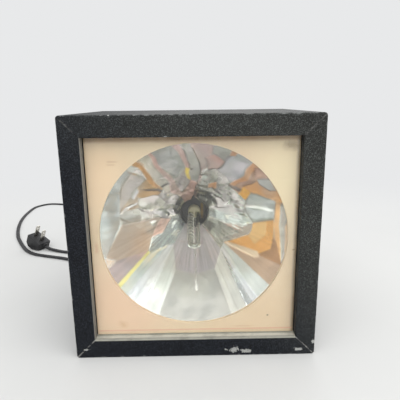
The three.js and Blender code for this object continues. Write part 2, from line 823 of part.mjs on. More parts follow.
// Lamp: foot, hairpin tube, electrodes and trigger wire, drooping a little from the axis about the foot.
function buildLamp() {
  const lamp = new THREE.Group();
  lamp.position.set(0, footBackY, lampHeight);
  lamp.rotation.x = lampDroop;
  strobe.add(lamp);
  const half = legSpacing / 2;
  const footFront = -footLength;
  const legStart = footFront + legSeat;
  const boreFloor = legStart + seatGap;
  const [cathodePin, anodePin, triggerPin] = lampPins();

  const body = turned([
    [0, 0],
    [footRadius, 0],
    [footRadius, footFront + footDome],
    [footRadius - footDome * footDomeShare, footFront + footDome * footDomeShare],
    [footRadius - footDome, footFront],
    [0, footFront],
  ], 20);
  const bores = [-half, half].flatMap((x) => [
    barAlongY(tubeRadius + seatGap, footFront - overrun, boreFloor, 16).translate(x, 0, 0),
    barAlongY(pinRadius + seatGap, boreFloor - overrun, overrun, 12).translate(x, 0, 0),
  ]);
  const triggerBore = barAlongY(triggerWireRadius + seatGap, footFront - overrun, overrun, 8);
  piece('lamp_foot', cut(body, ...bores, triggerBore.translate(triggerPin[0], 0, triggerPin[1])),
    finishes.ceramic, lamp);

  const section = regularPolygon(tubeRadius, 12);
  section.holes.push(regularPolygon(tubeRadius - tubeWall, 12));
  const bendY = -tubeReach + half + tubeRadius;
  const bendSteps = 10;
  const hairpin = new HairpinCurve(half, legStart, bendY, bendSteps);
  piece('flash_tube', sweep(hairpin, section, bendSteps + 2), finishes.clearGlass, lamp);

  // Electrode: a lead through the foot with a thicker tip inside the tube.
  const electrode = (tipRadius, tipLength) => {
    const tipStart = footFront - electrodeStart;
    return turned([
      [0, pinLength],
      [pinRadius, pinLength],
      [pinRadius, tipStart],
      [tipRadius, tipStart],
      [tipRadius, tipStart - tipLength + tipRadius],
      [tipRadius / 2, tipStart - tipLength],
      [0, tipStart - tipLength],
    ], 12);
  };
  const cathode = electrode(cathodeRadius, cathodeLength).translate(cathodePin[0], 0, cathodePin[1]);
  const anode = electrode(anodeRadius, anodeLength).translate(anodePin[0], 0, anodePin[1]);
  piece('cathode', cathode, finishes.tungsten, lamp);
  piece('anode', anode, finishes.tungsten, lamp);

  // Trigger wire: straight through the foot, then wound along the cathode's leg.
  const windRadius = tubeRadius + triggerWireRadius + windingGap;
  const windStart = footFront - windingStart;
  const points = [pinLength, 0, footFront, footFront - triggerWireStraight].map((y) => {
    return new THREE.Vector3(triggerPin[0], y, triggerPin[1]);
  });
  points.push(new THREE.Vector3(
    triggerPin[0] - triggerWireOut, (footFront + windStart) / 2, -windRadius - triggerWireRadius,
  ));
  const stepsPerTurn = 6;
  for (let k = 0; k <= triggerTurns * stepsPerTurn; k += 1) {
    const angle = (2 * Math.PI * k) / stepsPerTurn;
    points.push(new THREE.Vector3(
      -half - windRadius * Math.sin(angle),
      windStart - (triggerPitch * k) / stepsPerTurn,
      -windRadius * Math.cos(angle),
    ));
  }
  const wire = sweep(smoothCurve(points), regularPolygon(triggerWireRadius, 5),
    (triggerTurns + 3) * stepsPerTurn);
  piece('trigger_wire', wire, finishes.nickel, lamp);
}

// A point of the drooping lamp in the box's own frame.
function lampPoint(x, y, z) {
  const point = new THREE.Vector3(x, y, z).applyAxisAngle(new THREE.Vector3(1, 0, 0), lampDroop);
  return point.add(new THREE.Vector3(0, footBackY, lampHeight));
}

// Rear panel with vents, and its screws into the corner blocks.
function buildRearPanel() {
  const halfWidth = innerHalfWidth - rearPanelSlack;
  const sheet = boxBetween(-halfWidth, halfWidth, rearPanelFront, rearPanelBack,
    innerBottom + rearPanelSlack, innerTop - rearPanelSlack);
  const through = (radius, x, z, sides = 24) => {
    return barAlongY(radius, rearPanelFront - overrun, rearPanelBack + overrun, sides).translate(x, 0, z);
  };
  const holes = [
    through(controlBushRadius + seatGap, controlSpread, controlHeight),
    through(switchBushRadius + seatGap, -controlSpread, controlHeight),
    through(reliefNeckRadius + seatGap, cordX, cordHeight),
  ];
  for (let k = 0; k < ventCount; k += 1) {
    const slot = new THREE.Shape();
    const reach = (ventLength - ventWidth) / 2;
    slot.absarc(reach, 0, ventWidth / 2, -Math.PI / 2, Math.PI / 2);
    slot.absarc(-reach, 0, ventWidth / 2, Math.PI / 2, 1.5 * Math.PI);
    const cutter = new THREE.ExtrudeGeometry(slot, {
      depth: rearPanelThickness + 2 * overrun,
      curveSegments: 4,
      bevelEnabled: false,
    });
    holes.push(cutter.rotateX(Math.PI / 2).translate(0, rearPanelBack + overrun, ventBottom + k * ventPitch));
  }
  const screw = screwAlongY(largeScrewRadius, largeHeadRadius, largeHeadHeight,
    rearPanelThickness + screwBite);
  for (const [name, sideX, sideZ] of cornerSigns()) {
    const [x, z] = rearScrewPlace(sideX, sideZ);
    holes.push(through(largeScrewRadius + seatGap, x, z, 16));
    piece(`rear_screw_${name}`, copyAt(screw, x, rearPanelBack + seatGap, z), finishes.zincSteel);
  }
  piece('rear_panel', cut(sheet, ...holes), finishes.blackMetal);
}

// Speed control: a round body behind the panel, a nut on its bush, and a knob on its shaft.
function buildSpeedControl() {
  const bodyBack = rearPanelFront - seatGap;
  const bodyFront = bodyBack - controlBodyDepth;
  const bushEnd = rearPanelBack + controlBushLength;
  const boreRadius = shaftRadius + seatGap;
  const boreFloor = bodyFront + controlFloor;
  const body = turned([
    [0, boreFloor],
    [boreRadius, boreFloor],
    [boreRadius, bushEnd],
    [controlBushRadius, bushEnd],
    [controlBushRadius, bodyBack],
    [controlBodyRadius, bodyBack],
    [controlBodyRadius, bodyFront],
    [0, bodyFront],
  ], 24);
  const lugs = [-1, 0, 1].map((side) => {
    const x = side * lugPitch;
    const top = lugRoot - controlBodyRadius;
    return boxBetween(x - lugWidth / 2, x + lugWidth / 2, bodyFront + lugThickness,
      bodyFront + 2 * lugThickness, -controlBodyRadius - lugLength, top);
  });
  const place = (geometry) => geometry.translate(controlSpread, 0, controlHeight);
  piece('speed_control_body', place(join(body, ...lugs)), finishes.zincSteel);
  const nut = hexNut(controlBushRadius * nutCornersShare, controlBushRadius + seatGap, nutHeight);
  piece('speed_control_nut', place(nut.translate(0, rearPanelBack + seatGap, 0)), finishes.zincSteel);

  const knobBase = rearPanelBack + knobLift;
  const knobEnd = knobBase + knobHeight;
  const shaftEnd = knobEnd - knobRoof - seatGap;
  const shaft = turned([
    [0, boreFloor + seatGap],
    [shaftRadius, boreFloor + seatGap],
    [shaftRadius, shaftEnd - seatGap],
    [shaftRadius - seatGap, shaftEnd],
    [0, shaftEnd],
  ], 16);
  piece('speed_shaft', place(shaft), finishes.brass);

  // Knob: a skirted cap, hollow round the nut, fluted for the fingers, with a pointer groove on its face.
  const cavityRadius = controlBushRadius * nutCornersShare + 2 * seatGap;
  const cavityEnd = bushEnd + 2 * seatGap;
  const skirtEnd = knobBase + knobSkirtHeight;
  const blank = turned([
    [0, knobEnd - knobRoof],
    [shaftRadius + seatGap, knobEnd - knobRoof],
    [shaftRadius + seatGap, cavityEnd],
    [cavityRadius, cavityEnd],
    [cavityRadius, knobBase],
    [knobRadius, knobBase],
    [knobRadius, skirtEnd],
    [knobTopRadius + knobSlope, skirtEnd + knobSlope],
    [knobTopRadius, knobEnd - edgeEase],
    [knobTopRadius - edgeEase, knobEnd],
    [0, knobEnd],
  ], 36);
  const flutes = [];
  for (let k = 0; k < knobFlutes; k += 1) {
    const angle = (2 * Math.PI * (k + 0.5)) / knobFlutes;
    const reach = knobTopRadius + knobFluteOffset;
    const flute = barAlongY(knobFluteRadius, skirtEnd + knobFluteRadius, knobEnd + overrun, 8);
    flutes.push(flute.translate(reach * Math.sin(angle), 0, reach * Math.cos(angle)));
  }
  const pointer = boxBetween(-pointerWidth / 2, pointerWidth / 2, knobEnd - pointerDepth, knobEnd + overrun,
    pointerStart, knobRadius);
  piece('speed_knob', place(cut(blank, ...flutes, pointer)), finishes.blackPlastic);
}

// Power switch: case, threaded bush, nut and a bat-shaped lever, at rest in its lower position.
function buildSwitch() {
  const caseBack = rearPanelFront - seatGap;
  const caseFront = caseBack - switchCaseDepth;
  const x = -controlSpread;
  const box = boxBetween(-switchCaseWidth / 2, switchCaseWidth / 2, caseFront, caseBack,
    -switchCaseHeight / 2, switchCaseHeight / 2);
  const lugs = [-1, 1].map((side) => {
    const z = side * switchLugHeight;
    return boxBetween(-lugThickness / 2, lugThickness / 2, caseFront - lugLength, caseFront + overrun,
      z - lugWidth, z + lugWidth);
  });
  const hollowRadius = switchBoreRadius + seatGap;
  const bushStart = caseBack + seatGap;
  const pivotY = rearPanelBack + leverPivotLift;
  const hollow = barAlongY(hollowRadius, pivotY - leverTail - leverTailRoom, caseBack + overrun);
  piece('switch_case', cut(join(box, ...lugs), hollow).translate(x, 0, controlHeight), finishes.darkPhenolic);

  const bushEnd = rearPanelBack + switchBushLength;
  const bush = turned([
    [switchBoreRadius, bushStart],
    [switchBushRadius, bushStart],
    [switchBushRadius, bushEnd],
    [switchMouthRadius, bushEnd],
    [switchBoreRadius, pivotY + switchMouthStart],
    [switchBoreRadius, bushStart],
  ], 24);
  piece('switch_bush', bush.translate(x, 0, controlHeight), finishes.nickel);
  const nut = hexNut(switchBushRadius * nutCornersShare, switchBushRadius + seatGap, nutHeight);
  piece('switch_nut', nut.translate(x, rearPanelBack + seatGap, controlHeight), finishes.nickel);

  // The lever is turned about its pivot, the middle of its ball.
  const profile = [[0, -leverTail], [leverTailRadius, -leverTail]];
  const ballStart = -Math.acos(leverTailRadius / leverBallRadius);
  const ballEnd = Math.acos(leverNeckRadius / leverBallRadius);
  const ballSteps = 6;
  for (let k = 0; k <= ballSteps; k += 1) {
    const angle = THREE.MathUtils.lerp(ballStart, ballEnd, k / ballSteps);
    profile.push([leverBallRadius * Math.cos(angle), leverBallRadius * Math.sin(angle)]);
  }
  const tipSteps = 3;
  const tipCentre = leverLength - leverTipRadius;
  for (let k = 0; k <= tipSteps; k += 1) {
    const angle = ((k / tipSteps) * Math.PI) / 2;
    profile.push([leverTipRadius * Math.cos(angle), tipCentre + leverTipRadius * Math.sin(angle)]);
  }
  const lever = piece('switch_lever', turned(profile, 16), finishes.nickel);
  lever.position.set(x, pivotY, controlHeight);
  lever.rotation.x = -leverSwing;
}

// Strain relief: collar, neck through the panel, and a ribbed boot that tapers to the cord.
function buildStrainRelief() {
  const collarFront = rearPanelBack + seatGap;
  const collarBack = collarFront + reliefCollarThickness;
  const end = rearPanelBack + reliefLength;
  const profile = [
    [0, rearPanelFront - reliefInside],
    [reliefNeckRadius, rearPanelFront - reliefInside],
    [reliefNeckRadius, collarFront],
    [reliefCollarRadius, collarFront],
    [reliefCollarRadius, collarBack],
  ];
  const ribPitch = (end - collarBack) / (reliefRibs + ribTopShare);
  for (let k = 0; k < reliefRibs; k += 1) {
    const start = collarBack + k * ribPitch;
    const radius = THREE.MathUtils.lerp(reliefNeckRadius, reliefTipRadius, k / (reliefRibs - 1));
    profile.push([radius - reliefRibDepth, start + ribPitch * ribRootShare]);
    profile.push([radius - reliefRibDepth, start + ribPitch * ribRiseShare]);
    profile.push([radius, start + ribPitch * ribTopShare]);
    profile.push([radius, start + ribPitch]);
  }
  profile.push([reliefTipRadius - reliefRibDepth, end]);
  profile.push([0, end]);
  piece('strain_relief', turned(profile, 12).translate(cordX, 0, cordHeight), finishes.blackRubber);
}

function circuitCorners() {
  const x = circuitLength / 2 - cornerInset;
  const y = circuitWidth / 2 - cornerInset;
  return [[-x, circuitY - y], [x, circuitY - y], [-x, circuitY + y], [x, circuitY + y]];
}

function circuitScrewHoles() {
  const depth = screwBite + seatGap;
  return circuitCorners().map(([x, y]) => {
    return barAlongZ(smallScrewRadius + seatGap, innerBottom - depth, innerBottom + overrun, 10)
      .translate(x, y, 0);
  });
}

// Circuit board on spacers, with its screws into the bottom board, and with what is soldered or riveted in it:
// the terminals and the fuse clips.
function buildCircuitBoard() {
  const half = circuitLength / 2;
  const sheet = boxBetween(-half, half, circuitY - circuitWidth / 2, circuitY + circuitWidth / 2,
    circuitUnderside, circuitTop);
  const spacerBottom = innerBottom + seatGap;
  const spacer = barAlongZ(spacerRadius, spacerBottom, circuitUnderside + circuitThickness / 2, 6);
  const length = circuitTop - innerBottom + screwBite;
  const screw = screwAlongY(smallScrewRadius, smallHeadRadius, smallHeadHeight, length).rotateX(Math.PI / 2);
  const supports = circuitCorners().flatMap(([x, y]) => [
    copyAt(spacer, x, y, 0),
    copyAt(screw, x, y, circuitTop),
  ]);
  piece('circuit_board', join(sheet, ...supports, ...fuseClips(), ...terminals()), finishes.circuitBoard);
}

// Places on the circuit board, as shares of its half length and half width.
const layoutShares = {
  storageLeft: [-0.66, -0.35],
  storageRight: [-0.24, -0.35],
  triggerCoil: [0.12, -0.45],
  thyristor: [0.38, -0.45],
  triggerCapacitor: [0.67, -0.55],
  diodes: [[0.5, 0], [0.8, 0]],
  powerResistor: [-0.5, 0.42],
  fuse: [0.5, 0.58],
  lampTerminals: [[0.02, -0.04], [0.12, -0.04], [0.22, -0.04]],
  rearTerminals: [[-0.4, 0.88], [-0.14, 0.88], [0.12, 0.88], [0.32, 0.88]],
};

function onCircuit([alongShare, acrossShare]) {
  return [(alongShare * circuitLength) / 2, circuitY + (acrossShare * circuitWidth) / 2];
}

function buildStorageCapacitors() {
  const can = turnedUpright([
    [0, 0],
    [storageRadius - crimpDepth, 0],
    [storageRadius, crimpDepth],
    [storageRadius, crimpHeight],
    [storageRadius - crimpDepth, crimpHeight + crimpDepth],
    [storageRadius, crimpHeight + 2 * crimpDepth],
    [storageRadius, storageHeight - crimpDepth],
    [storageRadius - crimpDepth, storageHeight],
    [storageRadius - canDishInset, storageHeight - canDishDepth],
    [0, storageHeight - canDishDepth],
  ], 20);
  const [leftX, leftY] = onCircuit(layoutShares.storageLeft);
  const [rightX, rightY] = onCircuit(layoutShares.storageRight);
  piece('storage_capacitor_left', copyAt(can, leftX, leftY, partBase), finishes.blueSleeve);
  piece('storage_capacitor_right', copyAt(can, rightX, rightY, partBase), finishes.blueSleeve);
}

function buildTriggerParts() {
  const bobbin = turnedUpright([
    [0, 0],
    [coilFlangeRadius, 0],
    [coilFlangeRadius, coilFlange],
    [coilWindingRadius, coilFlange],
    [coilWindingRadius, coilHeight - coilFlange],
    [coilFlangeRadius, coilHeight - coilFlange],
    [coilFlangeRadius, coilHeight],
    [0, coilHeight],
  ], 20);
  const [coilAtX, coilAtY] = onCircuit(layoutShares.triggerCoil);
  piece('trigger_coil', bobbin.translate(coilAtX, coilAtY, partBase), finishes.copperWinding);
  const [filmX, filmY] = onCircuit(layoutShares.triggerCapacitor);
  const filmCap = boxBetween(filmX - filmCapLength / 2, filmX + filmCapLength / 2,
    filmY - filmCapWidth / 2, filmY + filmCapWidth / 2, partBase, partBase + filmCapHeight);
  piece('trigger_capacitor', filmCap, finishes.redFilm);

  const [x, y] = onCircuit(layoutShares.thyristor);
  const legTop = partBase + thyristorLegLength;
  const tab = boxBetween(x - tabWidth / 2, x + tabWidth / 2, y - tabThickness, y, legTop, legTop + tabHeight);
  const body = boxBetween(x - tabWidth / 2, x + tabWidth / 2, y - tabThickness / 2,
    y + thyristorBodyDepth - tabThickness, legTop, legTop + thyristorBodyHeight);
  const legs = [-1, 0, 1].map((side) => {
    const legX = x + side * thyristorLegPitch;
    const legY = y + thyristorLegInset;
    return boxBetween(legX - thyristorLegWidth / 2, legX + thyristorLegWidth / 2, legY,
      legY + thyristorLegWidth, partBase, legTop + overrun);
  });
  const holeZ = legTop + (thyristorBodyHeight + tabHeight) / 2;
  const tabHole = barAlongY(tabHoleRadius, y - tabThickness - overrun, y + overrun).translate(x, 0, holeZ);
  piece('thyristor', cut(join(tab, body, ...legs), tabHole), finishes.blackPlastic);
}

// A part that lies on the board with a lead bent down at each end.
function axialPart(radius, length, lift) {
  const axisZ = lift + radius;
  const body = barAlongX(radius, -length / 2, length / 2, 16).translate(0, 0, axisZ);
  const reach = length / 2 + leadReach;
  const lead = squareLead([
    new THREE.Vector3(-reach, 0, 0),
    new THREE.Vector3(-reach, 0, axisZ),
    new THREE.Vector3(reach, 0, axisZ),
    new THREE.Vector3(reach, 0, 0),
  ]);
  return join(body, lead);
}

// A lead with square corners: three bars that share their corners.
function squareLead([footLeft, topLeft, topRight, footRight]) {
  return join(
    barAlongZ(leadRadius, footLeft.z, topLeft.z + leadRadius, 8).translate(footLeft.x, 0, 0),
    barAlongX(leadRadius, topLeft.x, topRight.x, 8).translate(0, 0, topLeft.z),
    barAlongZ(leadRadius, footRight.z, topRight.z + leadRadius, 8).translate(footRight.x, 0, 0),
  );
}

function buildBoardParts() {
  const diode = axialPart(diodeRadius, diodeLength, diodeLift);
  layoutShares.diodes.forEach((share, k) => {
    piece(`rectifier_diode_${k + 1}`, copyAt(diode, ...onCircuit(share), partBase), finishes.blackPlastic);
  });

  const [resistorX, resistorY] = onCircuit(layoutShares.powerResistor);
  const brick = boxBetween(-resistorLength / 2, resistorLength / 2, -resistorSide / 2, resistorSide / 2,
    0, resistorSide);
  const ends = [-1, 1].map((side) => {
    const x = side * (resistorLength / 2 + resistorLeadReach);
    return join(
      barAlongZ(leadRadius, 0, resistorSide / 2 + leadRadius, 8).translate(x, 0, 0),
      barAlongX(leadRadius, side < 0 ? x : resistorLength / 2 - overrun,
        side < 0 ? -resistorLength / 2 + overrun : x, 8).translate(0, 0, resistorSide / 2),
    );
  });
  const resistor = join(brick, ...ends).translate(resistorX, resistorY, partBase);
  piece('power_resistor', resistor, finishes.whiteCeramic);
}

// Fuse: a glass tube with a metal cap on each end.
function buildFuse() {
  const [x, y] = onCircuit(layoutShares.fuse);
  const half = fuseLength / 2;
  const capFront = half - fuseCapLength;
  const glassRadius = fuseRadius - fuseGlassStep;
  const fuse = turned([
    [0, -half],
    [fuseRadius - fuseGlassStep, -half],
    [fuseRadius, -half + fuseGlassStep],
    [fuseRadius, -capFront],
    [glassRadius, -capFront],
    [glassRadius, capFront],
    [fuseRadius, capFront],
    [fuseRadius, half - fuseGlassStep],
    [fuseRadius - fuseGlassStep, half],
    [0, half],
  ], 16);
  piece('fuse', fuse.rotateZ(Math.PI / 2).translate(x, y, fuseAxis), finishes.clearGlass);
}

// Spring clips that hold the fuse: open rings on a foot.
function fuseClips() {
  const [x, y] = onCircuit(layoutShares.fuse);
  const clipInner = fuseRadius + seatGap;
  const clipOuter = clipInner + clipThickness;
  return [-1, 1].map((side) => {
    const middle = (side * (fuseLength - fuseCapLength)) / 2;
    const shell = barAlongX(clipOuter, middle - clipWidth / 2, middle + clipWidth / 2, 14);
    const foot = boxBetween(middle - clipWidth / 2, middle + clipWidth / 2, -clipFootWidth / 2,
      clipFootWidth / 2, circuitTop - fuseAxis - circuitThickness / 2, -clipInner);
    const reach = clipWidth / 2 + overrun;
    const bore = barAlongX(clipInner, middle - reach, middle + reach, 14);
    const mouth = boxBetween(middle - reach, middle + reach, -clipOuter, clipOuter,
      clipMouthHeight, clipOuter + overrun);
    return cut(join(shell, foot), bore, mouth).translate(x, y, fuseAxis);
  });
}

// Turret terminals that the hook-up wires are soldered to.
function terminals() {
  const collar = terminalCollarRadius - terminalRadius;
  const post = turnedUpright([
    [0, -circuitThickness / 2],
    [terminalCollarRadius, -circuitThickness / 2],
    [terminalCollarRadius, collar],
    [terminalRadius, collar],
    [terminalRadius, terminalHeight - collar],
    [terminalCollarRadius, terminalHeight - collar],
    [terminalCollarRadius, terminalHeight],
    [0, terminalHeight],
  ], 6);
  const shares = [...layoutShares.lampTerminals, ...layoutShares.rearTerminals];
  return shares.map((share) => copyAt(post, ...onCircuit(share), circuitTop));
}

// The point where a wire comes down on a terminal, and a point above it.
function terminalEnd(share, above = 0) {
  const [x, y] = onCircuit(share);
  return new THREE.Vector3(x, y, circuitTop + terminalHeight + seatGap + above);
}

// Hook-up wires: each runs from a pin or lug to a terminal, clear of what lies between.
function buildWires() {
  const { lerp } = THREE.MathUtils;
  const lampWire = (name, [pinX, pinZ], share, finish) => {
    const start = lampPoint(pinX, pinLength + seatGap, pinZ);
    const end = terminalEnd(share);
    const rearY = Math.min(strapBack + strapFoot / 2, rearPanelFront - 2 * wireRadius);
    const points = [
      start,
      start.clone().add(new THREE.Vector3(0, wireStraight, 0)),
      new THREE.Vector3(lerp(start.x, end.x, upperShare), rearY, lampHeight - strapHeight / 2),
      new THREE.Vector3(lerp(start.x, end.x, lowerShare), (rearY + end.y) / 2, (lampHeight + end.z) / 2),
      terminalEnd(share, terminalApproach),
      end,
    ];
    piece(name, wireAlong(points), finish);
  };
  const [cathodePin, anodePin, triggerPin] = lampPins();
  const [cathodeShare, triggerShare, anodeShare] = layoutShares.lampTerminals;
  lampWire('cathode_lead', cathodePin, cathodeShare, finishes.blackRubber);
  lampWire('trigger_lead', triggerPin, triggerShare, finishes.yellowWire);
  lampWire('anode_lead', anodePin, anodeShare, finishes.redWire);

  const [neutralShare, switchedShare, ...speedShares] = layoutShares.rearTerminals;
  const lugY = rearPanelFront - seatGap - switchCaseDepth - lugLength - seatGap;
  const cordFront = rearPanelFront - reliefInside - seatGap;
  const upper = new THREE.Vector3(-controlSpread, lugY, controlHeight + switchLugHeight);
  const lower = new THREE.Vector3(-controlSpread, lugY, controlHeight - switchLugHeight);
  const switchedEnd = terminalEnd(switchedShare);
  const switched = [
    upper,
    upper.clone().add(new THREE.Vector3(0, -lugApproach, 0)),
    new THREE.Vector3(switchLeadX[0], strapFront - wireDrop, lampHeight + strapHeight),
    new THREE.Vector3(switchLeadX[1], strapFront - wireDrop, lampHeight - strapHeight),
    new THREE.Vector3(lerp(switchLeadX[1], switchedEnd.x, middleShare), (strapFront + switchedEnd.y) / 2,
      (lampHeight + circuitTop) / 2),
    terminalEnd(switchedShare, terminalApproach),
    switchedEnd,
  ];
  piece('switch_lead', wireAlong(switched), finishes.redWire);

  const cordWireX = wireRadius + seatGap;
  const liveStart = new THREE.Vector3(cordX - cordWireX, cordFront, cordHeight);
  const live = [
    liveStart,
    liveStart.clone().add(new THREE.Vector3(0, -wireStraight, 0)),
    liveStart.clone().add(new THREE.Vector3(-2 * wireRadius, -wireDrop, wireDrop)),
    new THREE.Vector3(liveLeadX[0], strapFront, (lampHeight + cordHeight) / 2),
    new THREE.Vector3(liveLeadX[1], strapFront - wireDrop, lampHeight),
    new THREE.Vector3(liveLeadX[2], strapFront - wireDrop, lampHeight + strapHeight),
    lower.clone().add(new THREE.Vector3(0, -lugApproach, 0)),
    lower,
  ];
  const neutralStart = new THREE.Vector3(cordX + cordWireX, cordFront, cordHeight);
  const neutral = [
    neutralStart,
    neutralStart.clone().add(new THREE.Vector3(0, -wireStraight, 0)),
    neutralStart.clone().lerp(terminalEnd(neutralShare, terminalApproach), neutralBendShare),
    terminalEnd(neutralShare, wireDrop),
    terminalEnd(neutralShare),
  ];
  piece('cord_core_live', wireAlong(live), finishes.blackRubber);
  piece('cord_core_neutral', wireAlong(neutral), finishes.whiteWire);

  const lugBottom = controlHeight - controlBodyRadius - lugLength - seatGap;
  const lugMiddleY = rearPanelFront - seatGap - controlBodyDepth + lugThickness + lugThickness / 2;
  ['speed_lead_end', 'speed_lead_wiper'].forEach((name, which) => {
    const x = controlSpread - which * lugPitch;
    const end = terminalEnd(speedShares[1 - which]);
    const points = [
      new THREE.Vector3(x, lugMiddleY, lugBottom),
      new THREE.Vector3(x, lugMiddleY, lugBottom - wireDrop),
      new THREE.Vector3(lerp(x, end.x, upperShare), lugMiddleY - wireDrop, lampHeight),
      new THREE.Vector3(lerp(x, end.x, lowerShare), lugMiddleY - wireStraight, (lampHeight + end.z) / 2),
      terminalEnd(speedShares[1 - which], terminalApproach),
      end,
    ];
    piece(name, wireAlong(points), finishes.whiteWire);
  });
}

// The cord lies on the ground plane with its middle this high.
const cordRest = cordRadius + cordFloorGap;

// Middle line of the free lead, hand-chosen: down from the box, out and round the open loop on the left, and
// back behind the box.
const leadRoute = [
  [-45, 102, 37], [-45, 117, 27], [-46, 132, 15], [-50, 148, 7], [-58, 168, cordRest + cordTouchdown],
  [-76, 204, cordRest], [-112, 268, cordRest],
  [-160, 345, cordRest], [-208, 412, cordRest], [-250, 451, cordRest], [-286, 467, cordRest],
  [-313, 470, cordRest], [-331, 450, cordRest], [-332, 405, cordRest], [-323, 349, cordRest],
  [-306, 293, cordRest], [-288, 250, cordRest], [-276, 228, cordRest], [-262, 205, cordRest],
  [-247, 184, cordRest], [-232, 171, cordRest], [-211, 162, cordRest], [-186, 153, cordRest],
  [-165, 142, cordRest],
];

// Middle line of the tail, hand-chosen, from the coil to the plug.
const tailRoute = [
  [-124, 167, 8], [-146, 170, 4.2], [-168, 173, cordRest], [-188, 177, cordRest], [-203, 182.5, cordRest],
];

const coilBase = cordRadius + tieThickness + 2 * seatGap;
const coilSweep = coilExit - coilEntry + 2 * Math.PI * (coilFullTurns + 1);
const coilMiddle = coilSweep / 2;

// A point of the coil's middle line after turning by angle: in along the floor layer, up in the half turn where
// the spiral reverses, and out again along the upper layer.
function coilPoint(angle) {
  const turnsIn = (coilMiddle - Math.abs(angle - coilMiddle)) / (2 * Math.PI);
  const radius = coilOuterRadius - coilPitch * turnsIn;
  const climb = THREE.MathUtils.smoothstep(angle, coilMiddle - Math.PI / 2, coilMiddle + Math.PI / 2);
  return new THREE.Vector3(
    coilX + radius * Math.cos(coilEntry + angle),
    coilY + radius * Math.sin(coilEntry + angle),
    coilBase + coilLayerStep * climb,
  );
}

// The coil's middle line, with a straight end of one diameter at each end.
function coilLine() {
  const points = [];
  const steps = Math.ceil((coilSweep / (2 * Math.PI)) * coilStepsPerTurn);
  for (let k = 0; k <= steps; k += 1) points.push(coilPoint((coilSweep * k) / steps));
  const inDirection = points[0].clone().sub(points[1]).normalize();
  const outDirection = points[steps].clone().sub(points[steps - 1]).normalize();
  const straight = 2 * cordRadius;
  points.unshift(points[0].clone().addScaledVector(inDirection, straight));
  points.push(points[steps + 1].clone().addScaledVector(outDirection, straight));
  return { points, inDirection, outDirection };
}

// Least gap between turns of a line's tube, over points further apart along it than sameTurnLength.
function leastGap(points, radius) {
  let along = 0;
  const stations = points.map((point, k) => {
    if (k > 0) along += point.distanceTo(points[k - 1]);
    return along;
  });
  let least = Infinity;
  points.forEach((point, k) => {
    for (let m = k + 1; m < points.length; m += 1) {
      if (stations[m] - stations[k] < sameTurnLength) continue;
      least = Math.min(least, point.distanceTo(points[m]) - 2 * radius);
    }
  });
  return least;
}

function tubeThrough(points, radius, sides, spacing) {
  const curve = smoothCurve(points);
  return sweep(curve, regularPolygon(radius, sides), Math.ceil(curve.getLength() / spacing));
}

// The plug's own frame: X along its body toward the cord, Y across it, Z out of its face along the blades.
function plugFrame() {
  const frame = new THREE.Group();
  const lift = plugEndHeight * Math.cos(plugLean) + plugNearLength * Math.sin(plugLean);
  frame.position.set(plugX, plugY, lift + plugFloorGap);
  frame.rotation.set(0, plugLean, plugHeading, 'ZYX');
  frame.updateMatrixWorld(true);
  return frame;
}

function buildCord() {
  const routePoints = (route) => route.map(([x, y, z]) => new THREE.Vector3(x, y, z));
  const { points, inDirection, outDirection } = coilLine();
  const straight = 2 * cordRadius;

  const exit = new THREE.Vector3(cordX, rearPanelBack + reliefLength + seatGap, cordHeight);
  const coilStart = points[0].clone().addScaledVector(inDirection, seatGap);
  const coilEnd = points[points.length - 1].clone().addScaledVector(outDirection, seatGap);
  const lead = [
    exit,
    exit.clone().add(new THREE.Vector3(0, straight, 0)),
    ...routePoints(leadRoute),
    coilStart.clone().addScaledVector(inDirection, straight),
    coilStart,
  ];
  piece('power_cord_lead', tubeThrough(lead, cordRadius, 8, cordStep), finishes.blackRubber);

  const loops = tubeThrough(points, cordRadius, 6, (2 * Math.PI * coilOuterRadius) / coilStepsPerTurn);
  piece('power_cord_coil', loops, finishes.blackRubber);
  console.log(`least gap between the coil's turns: ${leastGap(points, cordRadius).toFixed(2)} mm`);

  const frame = plugFrame();
  const plugNose = plugNearLength + plugNoseLength;
  const plugPoint = (x) => new THREE.Vector3(x, 0, -plugNoseDepth).applyMatrix4(frame.matrixWorld);
  const tail = [
    coilEnd,
    coilEnd.clone().addScaledVector(outDirection, straight),
    ...routePoints(tailRoute),
    plugPoint(plugNose + seatGap + straight),
    plugPoint(plugNose + seatGap),
  ];
  piece('power_cord_tail', tubeThrough(tail, cordRadius, 8, cordStep), finishes.blackRubber);
  buildTie();
  buildPlug(frame);
}

// The tie goes round all the coil's turns at one place.
function buildTie() {
  const innerTurn = coilOuterRadius - (coilPitch * coilMiddle) / (2 * Math.PI);
  const inner = innerTurn - cordRadius - seatGap;
  const outer = coilOuterRadius + cordRadius + seatGap;
  const bottom = coilBase - cordRadius - seatGap;
  const top = coilBase + coilLayerStep + cordRadius + seatGap;
  const ease = cordRadius;
  const loop = (grow) => {
    const shape = new THREE.Shape();
    const radius = ease + grow;
    shape.absarc(outer - ease, top - ease, radius, 0, Math.PI / 2);
    shape.absarc(inner + ease, top - ease, radius, Math.PI / 2, Math.PI);
    shape.absarc(inner + ease, bottom + ease, radius, Math.PI, 1.5 * Math.PI);
    shape.absarc(outer - ease, bottom + ease, radius, 1.5 * Math.PI, 2 * Math.PI);
    return shape;
  };
  const band = loop(tieThickness);
  band.holes.push(loop(0));
  const tie = new THREE.ExtrudeGeometry(band, { depth: tieWidth, curveSegments: 3, bevelEnabled: false });
  tie.rotateX(Math.PI / 2).translate(0, tieWidth / 2, 0);
  const mesh = piece('cord_tie', tie, finishes.paperTie);
  mesh.position.set(coilX, coilY, 0);
  mesh.rotation.z = tieAngle;
}

